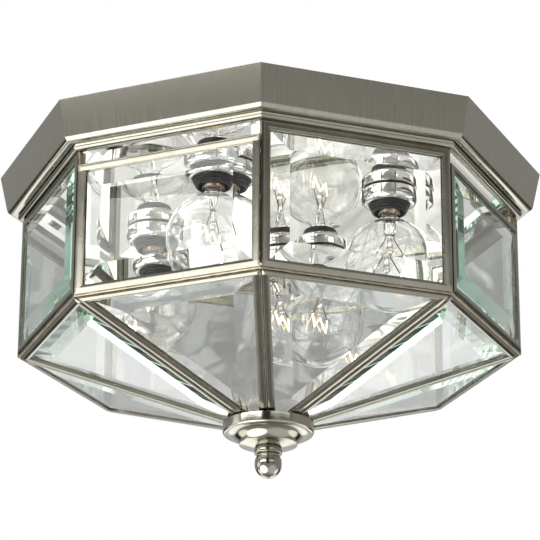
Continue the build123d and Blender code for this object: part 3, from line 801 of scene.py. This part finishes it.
class LIGHT_OT_canopy(Operator):
    """Model the tapered octagonal canopy with its rounded foot"""

    bl_idname = "light.canopy"
    bl_label = "Canopy"

    def execute(self, context):
        sizes = context.scene.light_sizes
        top = sizes.canopy_top / 2
        foot = sizes.canopy_lip / 2
        opening = sizes.canopy_opening / 2
        drop = -sizes.canopy_height
        sheet = sizes.canopy_sheet
        bend = sizes.canopy_bend
        lean = math.degrees(math.atan2(top - foot, sizes.canopy_height))
        half_turn = math.radians(90 - lean) / 2
        centre = (foot - bend * math.tan(half_turn), drop + bend)
        run = sheet / math.cos(math.radians(lean))
        section = [(top, 0)] + arc_points(centre, bend, -lean, -90, 12)
        section += [(opening, drop), (opening, drop + sheet)]
        section += arc_points(centre, bend - sheet, -90, -lean, 6) + [(top - run, 0)]
        piece = ring_profile("canopy_band", at_corners(section), SIDES)
        octagon_uv(piece)
        smooth(piece, 24)
        hand_over(piece, canopy_nickel(), "ceiling_body", "canopy")
        return {"FINISHED"}


class LIGHT_OT_rail(Operator):
    """Model the rounded rail that carries the glass cage"""

    bl_idname = "light.rail"
    bl_label = "Top rail"

    def neck(self, back, face, low, high, gap):
        """The bar between the rail and a tall frame, mitred at its ends and with eased edges."""
        ease = 0.0001
        deselect()
        bpy.ops.mesh.primitive_cube_add(size=2)
        bar = bpy.context.active_object
        for vertex in bar.data.vertices:
            reach = face if vertex.co.x > 0 else back
            across = reach * math.tan(HALF_SIDE) - gap / 2 / math.cos(HALF_SIDE)
            vertex.co = (reach, math.copysign(across, vertex.co.y), high if vertex.co.z > 0 else low)
        bpy.ops.object.mode_set(mode="EDIT")
        bpy.ops.mesh.select_all(action="SELECT")
        bpy.ops.mesh.bevel(offset=ease, segments=2, affect="EDGES")
        bpy.ops.object.mode_set(mode="OBJECT")
        return bar

    def execute(self, context):
        sizes = context.scene.light_sizes
        low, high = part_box("top_collar")
        face = sizes.cage_width / 2
        back = face - sizes.collar_depth
        radius = sizes.collar_round
        section = [(back, high[2])] + arc_points((face, high[2]), radius, 0, -90, 10)
        section += [(back, high[2] - radius)]
        rail = ring_profile("top_rail", at_corners(section), SIDES)
        neck = self.neck(back, face - sizes.collar_inset, low[2], high[2] - radius, sizes.corner_gap)
        piece = join("top_rail", [rail] + copies_of(neck, turned(side_turns(range(0, SIDES, 2)))))
        octagon_uv(piece)
        smooth(piece, 24)
        hand_over(piece, strip_nickel(), "shade", "top_collar")
        return {"FINISHED"}


class LIGHT_OT_frames(Operator):
    """Model the rounded strips that bind each pane, mitred at their corners"""

    bl_idname = "light.frames"
    bl_label = "Frames"

    def section(self, sizes, back, side_share, top_share):
        """A strip's section: crowned face, glass groove, back and mitred outer side."""
        width = sizes.strip_width
        half_steps = 6
        crown_power = 2.2
        rows = []

        def row(inset, depth):
            rows.append((inset * side_share, inset, inset * top_share, -depth))

        for step in range(2 * half_steps + 1):
            across = step / half_steps - 1
            row(width * (0.5 + 0.5 * across), sizes.strip_crown * abs(across) ** crown_power)
        row(width, sizes.groove_top)
        groove = [width * share - sizes.groove_depth for share in (side_share, 1.0, top_share)]
        rows.append((*groove, -sizes.groove_top))
        rows.append((*groove, -sizes.groove_foot))
        row(width, sizes.groove_foot)
        row(width, sizes.frame_depth)
        rows.append((*back, -sizes.frame_depth))
        return rows

    def execute(self, context):
        sizes = context.scene.light_sizes
        slope = sizes.lower_slope
        depth = sizes.frame_depth
        face = sizes.cage_width / 2
        lean = math.tan(HALF_SIDE)
        waist = waist_height(sizes)
        trim = sizes.corner_gap / 2 / math.cos(HALF_SIDE)

        # The mitre plane at the waist, in a section through the axis
        grade = math.tan(slope) - 1 / math.cos(slope)
        mitre = Vector((-1, -grade)).normalized()
        edge = Vector((mitre.y, -mitre.x)) * (sizes.waist_gap / 2)
        foot = edge.y - edge.x * grade
        start = -edge.y - (face - edge.x) * grade
        head_face = (-face * math.tan(slope) - start) / (grade - math.tan(slope))
        head_back = head_face + (depth / math.cos(slope)) / (grade - math.tan(slope))

        # The lower frames, measured down their slope, and the lean of their sides
        lower_head = (face - head_face) / math.cos(slope)
        lower_length = (face - sizes.hub_width / 2) / math.cos(slope)
        back_z = -(face - head_back) * math.tan(slope) + depth / math.cos(slope)
        back_head = (face - head_back) * math.cos(slope) - back_z * math.sin(slope)
        side_lean = math.atan(math.cos(slope) * lean)

        def upper(drop):
            def place(side, head, t_side, t_foot, t_head, z):
                across = side * (face * lean - trim - t_side)
                up = sizes.side_height - drop - t_head if head > 0 else foot + t_foot
                return Vector((face + z, across, waist + up))
            return place

        def lower(side, head, t_side, t_foot, t_head, z):
            run = lower_head + t_head if head > 0 else lower_length - t_foot
            reach = (face - run * math.cos(slope)) * lean - trim
            across = side * (reach - t_side / math.cos(side_lean))
            return Vector((face - run * math.cos(slope) + z * math.sin(slope), across,
                           waist - run * math.sin(slope) - z * math.cos(slope)))

        upper_back = (depth * lean, -depth * grade, 0)
        lower_back = (depth * math.sin(slope) * lean, depth * math.tan(slope), back_head - lower_head)
        upper_section = self.section(sizes, upper_back, 1.0, sizes.top_strip / sizes.strip_width)
        lower_section = self.section(sizes, lower_back, sizes.rib_strip / sizes.strip_width, 1.0)
        vented = upper(sizes.vent_height)
        kinds = (
            ("tall_frame_set", "tall_frames", upper(0), upper_section, range(0, SIDES, 2), strip_nickel()),
            ("vented_frame_set", "vented_frames", vented, upper_section, range(1, SIDES, 2), vented_nickel()),
            ("lower_frame_set", "lower_frames", lower, lower_section, range(SIDES), sloping_nickel()),
        )
        for name, node, place, section, sides, finish in kinds:
            model = strip_ring("strip", section, place)
            frames = join(name, copies_of(model, turned(side_turns(sides))))
            hand_over(frames, finish, "shade", node)
        return {"FINISHED"}


class LIGHT_OT_solder(Operator):
    """Run the uneven solder beads along the corners, the waist and the ribs"""

    bl_idname = "light.solder"
    bl_label = "Solder"

    def bead(self, start, end, outward, width, depth, swell=None):
        """A bead between two points, oval in section; swell gives its size along the way."""
        steps = 48
        overrun = 0.01
        ways = [step / steps for step in range(steps + 1)]
        profile = [(0, -overrun)] + [(swell(way) if swell else 1.0, way) for way in ways] + [(0, 1 + overrun)]
        piece = ring_profile("bead", profile, 12)
        along = end - start
        across = along.cross(outward).normalized()
        for vertex in piece.data.vertices:
            local = vertex.co.copy()
            vertex.co = start + along * local.z + outward * (local.x * depth) + across * (local.y * width)
        return piece

    def run(self, name, node, model, rough):
        """Copy the bead to every corner or side and make each copy uneven in its own way."""
        coarse, fine, fine_share = 260, 620, 0.6
        copies = copies_of(model, turned(2 * HALF_SIDE * index for index in range(SIDES)))
        for copy in copies:
            normals = [vertex.normal.copy() for vertex in copy.data.vertices]
            for vertex, normal in zip(copy.data.vertices, normals):
                lump = noise.noise(vertex.co * coarse) + fine_share * noise.noise(vertex.co * fine)
                vertex.co += normal * (lump * rough)
        piece = join(name, copies)
        smooth(piece, 70)
        hand_over(piece, solder_metal(), "shade", node)

    def execute(self, context):
        sizes = context.scene.light_sizes
        slope = sizes.lower_slope
        face = sizes.cage_width / 2
        hub = sizes.hub_width / 2
        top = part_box("tall_frames")[1][2]
        waist = waist_height(sizes)
        half_gap = sizes.corner_gap / 2
        gap_share = 0.94
        waist_share = 0.95
        bead_depth = 0.0015

        def on_corner(distance, height):
            return Vector((0, -distance * CORNER, height))

        def on_slope(distance):
            return on_corner(distance, waist - (face - distance) * math.tan(slope))

        def corner_swell(way):
            """The corner beads spread near their top, where they meet the rail."""
            swell_start, swell = 0.86, 0.9
            return 1.0 + swell * max(0.0, (way - swell_start) / (1 - swell_start)) ** 0.5

        corner_inset = 0.0033
        corner_depth = 0.0014
        foot_gap = 0.0045
        head_gap = 0.0003
        start = on_corner(face - corner_inset, waist + foot_gap)
        end = on_corner(face - corner_inset, top + sizes.collar_neck - head_gap)
        out = Vector((0, -1, 0))
        model = self.bead(start, end, out, half_gap * gap_share, corner_depth, corner_swell)
        self.run("corner_beads", "corner_solder", model, rough=0.00016)

        rib_inset = 0.0042
        rib_sink = 0.0020
        sink = Vector((0, math.sin(slope), math.cos(slope))) * rib_sink
        out = Vector((0, -math.sin(slope) * math.cos(HALF_SIDE), -math.cos(slope))).normalized()
        model = self.bead(on_slope(face - rib_inset) + sink, on_slope(hub) + sink, out,
                          half_gap * gap_share, bead_depth)
        self.run("rib_beads", "rib_solder", model, rough=0.00022)

        waist_sink = 0.0024
        grade = 1 / math.cos(slope) - math.tan(slope)
        out = Vector((-math.sin(HALF_SIDE), -math.cos(HALF_SIDE), -grade)).normalized()
        left = on_corner(face, waist)
        right = Vector((-left.y * math.sin(-2 * HALF_SIDE), left.y * math.cos(2 * HALF_SIDE), waist))
        sink = out * -waist_sink
        model = self.bead(left + sink, right + sink, out, sizes.waist_gap / 2 * waist_share, bead_depth)
        self.run("waist_beads", "waist_bead", model, rough=0.00028)
        return {"FINISHED"}


class LIGHT_OT_cage(Operator):
    """Dress the panes and the hub"""

    bl_idname = "light.cage"
    bl_label = "Panes"

    def execute(self, context):
        dress(strip_nickel(), "bottom_hub")
        for index in range(1, SIDES + 1):
            dress(upright_glass(), f"upper_pane_{index}")
            dress(sloping_glass(), f"lower_pane_{index}")
        return {"FINISHED"}


class LIGHT_OT_cap(Operator):
    """Model the turned cap under the ribs"""

    bl_idname = "light.cap"
    bl_label = "Bottom cap"

    def cove(self, start, start_z, end, end_z):
        """A hollow curve that leaves its outer end level and falls to its inner end."""
        run, drop = start - end, start_z - end_z
        radius = (run ** 2 + drop ** 2) / (2 * drop)
        turn = math.degrees(math.asin(run / radius))
        return arc_points((start, start_z - radius), radius, 90 + turn, 90, 12)

    def execute(self, context):
        low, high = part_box("bottom_cap")
        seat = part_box("bottom_hub")[0][2]
        rim = (high[0] - low[0]) / 2
        top, foot = high[2], low[2]
        wall = 0.001
        ease = 0.0001
        rim_ease = 0.0003
        edge = 0.0016
        band = top - 0.0049
        bend = rim - edge
        cove_run = 0.0077
        cove_drop = 0.0055
        ledge = bend - cove_run
        ledge_z = band - edge - cove_drop
        ledge_step = 0.0006
        floor = ledge_z + wall / 2
        rod_hole = 0.0035
        boss = 0.007
        foot_radius = 0.0079
        profile = [(rod_hole, seat), (rod_hole, foot)]
        profile += [(foot_radius, foot), (foot_radius + 4 * ease, foot + ease)]
        profile += [(ledge - ledge_step, ledge_z - ledge_step), (ledge - ease, ledge_z - ledge_step + ease)]
        profile += self.cove(bend, band - edge, ledge, ledge_z)
        profile += arc_points((bend, band), edge, -90, 0, 8)[1:]
        profile += [(rim, top - rim_ease), (rim - rim_ease, top), (rim - wall, top), (rim - wall, band)]
        profile += self.cove(bend, band - edge + wall, ledge - wall, floor)[::-1]
        profile += [(boss, floor), (boss, seat)]
        piece = ring_profile("cap_turning", profile, 96)
        smooth(piece, 35)
        hand_over(piece, turned_nickel(), "shade", "bottom_cap")
        return {"FINISHED"}


class LIGHT_OT_finial(Operator):
    """Model the finial and dress the washer above it"""

    bl_idname = "light.finial"
    bl_label = "Finial"

    def execute(self, context):
        low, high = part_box("finial")
        top, tip = high[2], low[2]
        collar = (high[0] - low[0]) / 2
        edge = 0.0005
        foot = top - 0.0028
        groove = 0.0057
        fillet = 0.0002
        bead = 0.00695
        bead_round = 0.0003
        bead_z = foot - 0.0012
        neck = 0.0062
        knob = 0.00763
        knob_top = foot - 0.002
        knob_shoulder = ((0.0011, 0.0), (0.0006, 0.0004), (0.0002, 0.0010), (0.00004, 0.0017))
        bore = 0.00308
        bore_top = top - 0.0116
        profile = [(0, bore_top), (bore, bore_top), (bore, top)]
        profile += arc_points((collar - edge, top - edge), edge, 90, 0, 4)
        profile += arc_points((collar - edge, foot + edge), edge, 0, -90, 4)
        profile += [(groove + fillet, foot), (groove, foot - fillet)]
        profile += [(groove, bead_z + bead_round + fillet / 2), (groove + fillet, bead_z + bead_round)]
        profile += arc_points((bead - bead_round, bead_z), bead_round, 90, -90, 6)
        profile += [(neck, bead_z - bead_round), (neck, knob_top)]
        profile += [(knob - inset, knob_top - fall) for inset, fall in knob_shoulder]
        profile += arc_points((0, tip + knob), knob, 0, -84, 18)
        profile += [(0, tip)]
        piece = ring_profile("finial_turning", profile, 72)
        smooth(piece, 35)
        hand_over(piece, turned_nickel(), "finial", "finial")
        dress(strip_nickel(), "finial_washer")
        return {"FINISHED"}


class LIGHT_OT_sockets(Operator):
    """Model the chrome cups and the black socket bodies, and dress the rest of the sockets"""

    bl_idname = "light.sockets"
    bl_label = "Sockets"

    def cup_section(self, sizes, top, foot):
        """A cup's sheet, from the neck hole over the rounded foot and back inside."""
        wall = sizes.cup_wall
        radius = sizes.cup_radius
        bend = sizes.cup_round
        neck = 0.0094
        edge = 0.0007
        lip = 0.0002
        mouth = radius - bend - lip
        section = [(neck, top)] + arc_points((radius - edge, top - edge), edge, 90, 0, 4)
        section += arc_points((radius - bend, foot + bend), bend, 0, -80, 10)
        section += [(mouth, foot + lip), (mouth, foot + wall)]
        section += arc_points((radius - bend, foot + bend), bend - wall, -90, 0, 8)
        section += [(radius - wall, top - wall), (neck, top - wall)]
        return section

    def body_section(self, crown, mouth, shoulder, entry):
        """A socket body: barrel, body, stepped rings at the mouth, and the bore for the bulb's base."""
        barrel = 0.0092
        barrel_ease = 0.0004
        body = 0.0119
        edge = 0.0003
        rings = 3
        ring = 0.0014
        ring_round = 0.0006
        first_ring = 0.01123
        ring_step = 0.00067
        bore = 0.0087
        bore_ease = 0.0002
        shell = 0.0068
        shell_top = entry + 0.0136
        ring_top = mouth + rings * ring
        section = [(0, crown), (barrel - barrel_ease, crown), (barrel, crown - barrel_ease)]
        section += [(barrel, shoulder), (body, shoulder), (body, ring_top + edge), (body - edge, ring_top)]
        for step in range(rings):
            radius = first_ring - ring_step * step
            level = ring_top - ring * step
            section += [(radius - edge, level), (radius, level - edge)]
            section += arc_points((radius - ring_round, level - ring + ring_round), ring_round, 0, -70, 4)
        section += [(bore + bore_ease, mouth), (bore, mouth + bore_ease), (bore, entry), (shell, entry)]
        section += [(shell, shell_top), (0, shell_top)]
        return section

    def execute(self, context):
        sizes = context.scene.light_sizes
        cup_low, cup_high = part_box("socket_cups")
        top, foot = cup_high[2], cup_low[2]
        cup = ring_profile("cup", self.cup_section(sizes, top, foot), 64)
        cups = join("socket_cup_set", copies_of(cup, socket_places()))
        smooth(cups, 40)
        hand_over(cups, cup_chrome(), "ceiling_body", "socket_cups")

        low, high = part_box("socket_bodies")
        entry = foot + 0.0036
        socket = ring_profile("socket", self.body_section(high[2], low[2], top - sizes.cup_wall, entry), 64)
        bodies = join("socket_body_set", copies_of(socket, socket_places()))
        smooth(bodies, 35)
        hand_over(bodies, black_moulding(), "ceiling_body", "socket_bodies")

        dress(black_moulding(), "socket_washers")
        dress(contact_brass(), "socket_shells", "socket_contacts")
        dress(zinc_steel(), "socket_nuts")
        return {"FINISHED"}


class LIGHT_OT_bulbs(Operator):
    """Model the globe bulbs: envelope and stem, screw base, contact and filament"""

    bl_idname = "light.bulbs"
    bl_label = "Bulbs"

    def stem(self):
        """Heights of the seal, of the stem's foot and of the ball at its end, and the ball's radius."""
        seal_drop = 0.0025
        stem_length = 0.013
        ball_drop = 0.0095
        ball = 0.0022
        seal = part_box("bulb_1_glass")[1][2] - seal_drop
        foot = seal - stem_length
        return seal, foot, foot - ball_drop, ball

    def envelope(self, wall, top, globe_z):
        """Profile of the bulb's skin from its lowest point up to the neck."""
        sizes = bpy.context.scene.light_sizes
        globe = sizes.globe_radius
        flare = sizes.neck_flare
        reach = globe + flare
        turn = math.degrees(math.asin((sizes.neck_radius + flare) / reach))
        flare_z = globe_z + reach * math.cos(math.radians(turn))
        centre = (sizes.neck_radius + flare, flare_z)
        points = [(0, globe_z - (globe - wall))]
        points += arc_points((0, globe_z), globe - wall, -86, 90 - turn, 40)
        points += arc_points(centre, flare + wall, 270 - turn, 180, 12)[1:]
        points += [(sizes.neck_radius - wall, top)]
        return points

    def pinch(self, cavity, radius, seal, foot):
        """Press the stem flat towards its foot."""
        margin = 0.0005
        flat_share = 0.5
        pinch_top = seal - 0.003
        pinch_run = 0.006
        for vertex in cavity.data.vertices:
            if math.hypot(vertex.co.x, vertex.co.y) < radius and vertex.co.z > foot - margin:
                way = min(1.0, max(0.0, (pinch_top - vertex.co.z) / pinch_run))
                vertex.co.y *= 1 - flat_share * way

    def glass(self):
        sizes = bpy.context.scene.light_sizes
        plate_sheet = 0.0008
        globe_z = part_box("reflector_plate")[1][2] - plate_sheet - sizes.globe_drop
        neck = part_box("bulb_1_glass")[1][2]
        seal, foot, ball_z, ball = self.stem()
        stem = 0.0037
        rod = 0.0016
        # Radius, and height above the stem's foot
        stem_end = ((stem, 0.002), (0.0034, 0.0006), (0.0026, 0.0), (0.0017, -0.0002), (rod, -0.001))
        skin = ring_profile("skin", self.envelope(0, neck, globe_z) + [(0, neck)], 80)
        hollow = self.envelope(sizes.glass_wall, seal, globe_z) + [(stem, seal)]
        hollow += [(radius, foot + height) for radius, height in stem_end]
        hollow += [(rod, ball_z + rod)] + arc_points((0, ball_z), ball, 45, -75, 8) + [(0, ball_z - ball)]
        cavity = ring_profile("cavity", hollow, 80, inside=True)
        self.pinch(cavity, stem + 0.0001, seal, foot)
        piece = join("bulb_glass", [skin, cavity])
        smooth(piece, 50)
        return piece

    def base(self):
        low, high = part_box("bulb_1_base")
        top, foot = high[2], low[2]
        cone = top - 0.0012
        tip = 0.0024
        sheet = 0.0004
        ease = 0.0001
        rim = 0.0062
        rim_ease = 0.0003
        lip = 0.0002
        pitch = 0.00254
        turns = 4
        turn_steps = 6
        root = 0.00555
        crest = 0.0004
        thread = pitch * turns
        thread_foot = cone - thread
        rim_top = thread_foot - 0.0008
        inner = root - sheet
        levels = turns * turn_steps
        profile = [(0, top), (tip, top), (inner, cone + ease)]
        profile += [(root, cone - thread * step / levels) for step in range(levels + 1)]
        profile += [(root + ease, thread_foot - rim_ease), (rim - rim_ease, rim_top)]
        profile += [(rim, rim_top - rim_ease), (rim, foot + lip), (rim - lip, foot), (rim - sheet, foot)]
        profile += [(rim - sheet, rim_top - lip)]
        profile += [(inner, thread_foot - lip), (inner, cone - sheet), (0, cone - sheet)]
        piece = ring_profile("bulb_base", profile, 64)
        for vertex in piece.data.vertices:
            radius = math.hypot(vertex.co.x, vertex.co.y)
            depth = cone - vertex.co.z
            if abs(radius - root) < ease / 2 and 0 < depth < thread:
                phase = depth / pitch * 2 * math.pi - math.atan2(vertex.co.y, vertex.co.x)
                fade = min(1.0, depth / pitch, (thread - depth) / pitch)
                swell = 1 + crest / root * fade * (0.5 + 0.5 * math.cos(phase))
                vertex.co.x *= swell
                vertex.co.y *= swell
        smooth(piece, 50)
        return piece

    def contact(self):
        low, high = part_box("bulb_1_contact")
        top, foot = high[2], low[2]
        radius = 0.0024
        dome = 0.0022
        flat = 0.0012
        edge_z = foot + (top - foot) * 0.2
        dome_points = arc_points((0, edge_z), dome, 8, 40, 4)
        profile = [(0, foot), (radius, foot), (radius, edge_z)]
        profile += [(reach, min(level, top)) for reach, level in dome_points]
        profile += [(flat, top), (0, top)]
        piece = ring_profile("bulb_contact", profile, 40)
        smooth(piece, 50)
        return piece

    def filament(self):
        low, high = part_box("bulb_1_filament")
        top, foot = high[2], low[2]
        _, _, ball_z, ball = self.stem()
        stem_end = ball_z - ball
        wire = 0.00034
        lead = 0.0024
        lead_foot = top - 0.002
        joint = (0.0085, stem_end - 0.0014)
        fold = (0.0065, foot + 0.0004)
        peak = (0, stem_end - 0.00095)
        right = [(lead, top), (lead, lead_foot), joint, fold]
        points = [(-x, z) for x, z in right] + [peak] + right[::-1]
        curve = bpy.data.curves.new("filament_wire", "CURVE")
        curve.dimensions = "3D"
        spline = curve.splines.new("POLY")
        spline.points.add(len(points) - 1)
        for point, (x, z) in zip(spline.points, points):
            point.co = (x, 0, z, 1)
        curve.bevel_depth = wire
        curve.bevel_resolution = 3
        curve.use_fill_caps = True
        piece = bpy.data.objects.new("filament_wire", curve)
        bpy.context.collection.objects.link(piece)
        activate(piece)
        bpy.ops.object.convert(target="MESH")
        piece = bpy.context.active_object
        smooth(piece, 60)
        return piece

    def execute(self, context):
        parts = (
            ("glass", self.glass(), bulb_glass(), "bulb_glass"),
            ("base", self.base(), base_copper(), "bulb_base"),
            ("contact", self.contact(), solder_metal(), "solder"),
            ("filament", self.filament(), filament_glow(), "filament"),
        )
        for index, (_, place) in enumerate(socket_places(), 1):
            turn = math.radians(FILAMENT_TURNS[index - 1])
            for part, model, finish, slot in parts:
                twin = copy_to(model, turn, place)
                rename(twin, f"globe_{index}_{part}")
                body = f"bulb_{index}_contact" if part == "contact" else f"bulb_{index}"
                hand_over(twin, finish, body, f"bulb_{index}_{part}")
        for _, model, _, _ in parts:
            remove(model)
        return {"FINISHED"}


class LIGHT_OT_hardware(Operator):
    """Dress the reflector plate and the hidden hardware and wiring"""

    bl_idname = "light.hardware"
    bl_label = "Plate, hardware and wiring"

    def execute(self, context):
        dress(reflector_mirror(), "reflector_plate")
        dress(zinc_steel(), "mounting_crossbar", "center_rod", "rod_nuts", "plate_washer")
        dress(green_screw(), "ground_screw")
        dress(black_insulation(), "hot_leads")
        dress(white_insulation(), "neutral_leads")
        dress(ivory_plastic(), "splice_caps")
        return {"FINISHED"}


class LIGHT_OT_stage(Operator):
    """Set up the floor, the lights, the surroundings and the camera"""

    bl_idname = "light.stage"
    bl_label = "Stage"

    def floor(self, height):
        """A wide floor that metal and glass don't show."""
        deselect()
        bpy.ops.mesh.primitive_plane_add(size=FLOOR_WIDTH, location=(0, 0, height))
        floor = bpy.context.active_object
        floor.name = "floor"
        bpy.ops.object.transform_apply(location=True)
        put_on(floor, pale_floor())
        floor.visible_glossy = False
        floor.visible_transmission = False

    def softbox(self, name, place, width, height, power, mirrored):
        """A lamp that either lights matt surfaces or shows in reflections."""
        deselect()
        bpy.ops.object.light_add(type="AREA", location=place)
        lamp = bpy.context.active_object
        lamp.name = name
        lamp.data.shape = "RECTANGLE"
        lamp.data.size = width
        lamp.data.size_y = height
        lamp.data.energy = power
        lamp.visible_glossy = mirrored
        lamp.visible_diffuse = not mirrored
        aim = LAMP_AIM - Vector(place)
        lamp.rotation_euler = aim.to_track_quat("-Z", "Y").to_euler()

    def surroundings(self, scene):
        """White for the camera and grey for matt surfaces; metal and glass show a room with patches."""
        scene.world = bpy.data.worlds.new("surroundings")
        sky = Nodes(scene.world, "ShaderNodeOutputWorld")
        view = sky.add("ShaderNodeTexCoord", output="Generated")

        def patch(direction, inner, outer):
            """1 in one direction, falling to 0 between two edges whose cosines are given."""
            aim = sky.add("ShaderNodeVectorMath", {"operation": "DOT_PRODUCT"},
                          {0: view, 1: Vector(direction).normalized()}, "Value")
            return sky.add("ShaderNodeMapRange", {"interpolation_type": "SMOOTHSTEP"},
                           {"Value": aim, "From Min": outer, "From Max": inner})

        def ray(kind):
            return sky.add("ShaderNodeLightPath", output=f"Is {kind} Ray")

        def choose(factor, first, second):
            return sky.add("ShaderNodeMix", None, {"Factor": factor, "A": first, "B": second})

        room = ROOM_LEVEL
        for (x, y, z), inner, outer, strength, twin in ROOM_PATCHES:
            for side in (-1, 1) if twin else (1,):
                room = room + patch((side * x, y, z), inner, outer) * strength
        mirrored = room.math("MAXIMUM", ROOM_DARKEST)
        sharp = ray("Glossy").math("MAXIMUM", ray("Transmission"))
        level = choose(ray("Camera"), choose(sharp, MATT_LEVEL, mirrored), 1.0)
        sky.end(Surface=sky.add("ShaderNodeBackground", None, {"Color": (1, 1, 1, 1), "Strength": level}))

    def camera(self, scene, stage):
        """A camera at the stage's angles, looking at its aim."""
        data = bpy.data.cameras.new("camera")
        camera = bpy.data.objects.new("camera", data)
        scene.collection.objects.link(camera)
        data.lens = stage.lens
        data.sensor_width = SENSOR_WIDTH
        data.sensor_fit = "HORIZONTAL"
        data.clip_start = 0.01
        back = Vector((math.sin(stage.azimuth) * math.cos(stage.elevation),
                       -math.cos(stage.azimuth) * math.cos(stage.elevation),
                       math.sin(stage.elevation)))
        place = Vector((stage.aim_x, 0, stage.aim_z)) + back * stage.distance
        turn = back.to_track_quat("Z", "Y").to_matrix().to_4x4()
        camera.matrix_world = Matrix.Translation(place) @ turn @ Matrix.Rotation(stage.roll, 4, "Z")
        scene.camera = camera

    def execute(self, context):
        scene = context.scene
        stage = scene.light_stage
        scene.view_settings.view_transform = "Standard"
        scene.cycles.max_bounces = BOUNCES
        scene.cycles.transmission_bounces = BOUNCES
        scene.cycles.glossy_bounces = BOUNCES
        self.floor(stage.floor_z)
        for softbox in SOFTBOXES:
            self.softbox(*softbox)
        self.surroundings(scene)
        self.camera(scene, stage)
        return {"FINISHED"}


class LIGHT_PT_panel(Panel):
    """Lists the light's pieces in the sidebar"""

    bl_idname = "LIGHT_PT_panel"
    bl_label = "Ceiling light"
    bl_space_type = "VIEW_3D"
    bl_region_type = "UI"
    bl_category = "Ceiling light"

    def draw(self, context):
        for operator in PIECES:
            self.layout.operator(operator.bl_idname)


PIECES = (LIGHT_OT_canopy, LIGHT_OT_rail, LIGHT_OT_frames, LIGHT_OT_solder, LIGHT_OT_cage, LIGHT_OT_cap,
          LIGHT_OT_finial, LIGHT_OT_sockets, LIGHT_OT_bulbs, LIGHT_OT_hardware, LIGHT_OT_stage)
CLASSES = (LightSizes, LightColours, StageSettings) + PIECES + (LIGHT_PT_panel,)


def register():
    for item in CLASSES:
        bpy.utils.register_class(item)
    bpy.types.Scene.light_sizes = PointerProperty(type=LightSizes)
    bpy.types.Scene.light_colours = PointerProperty(type=LightColours)
    bpy.types.Scene.light_stage = PointerProperty(type=StageSettings)


def unregister():
    del bpy.types.Scene.light_stage
    del bpy.types.Scene.light_colours
    del bpy.types.Scene.light_sizes
    for item in reversed(CLASSES):
        bpy.utils.unregister_class(item)


def main():
    register()
    bpy.ops.light.canopy()
    bpy.ops.light.rail()
    bpy.ops.light.frames()
    bpy.ops.light.solder()
    bpy.ops.light.cage()
    bpy.ops.light.cap()
    bpy.ops.light.finial()
    bpy.ops.light.sockets()
    bpy.ops.light.bulbs()
    bpy.ops.light.hardware()
    bpy.ops.light.stage()


if __name__ == "__main__":
    main()
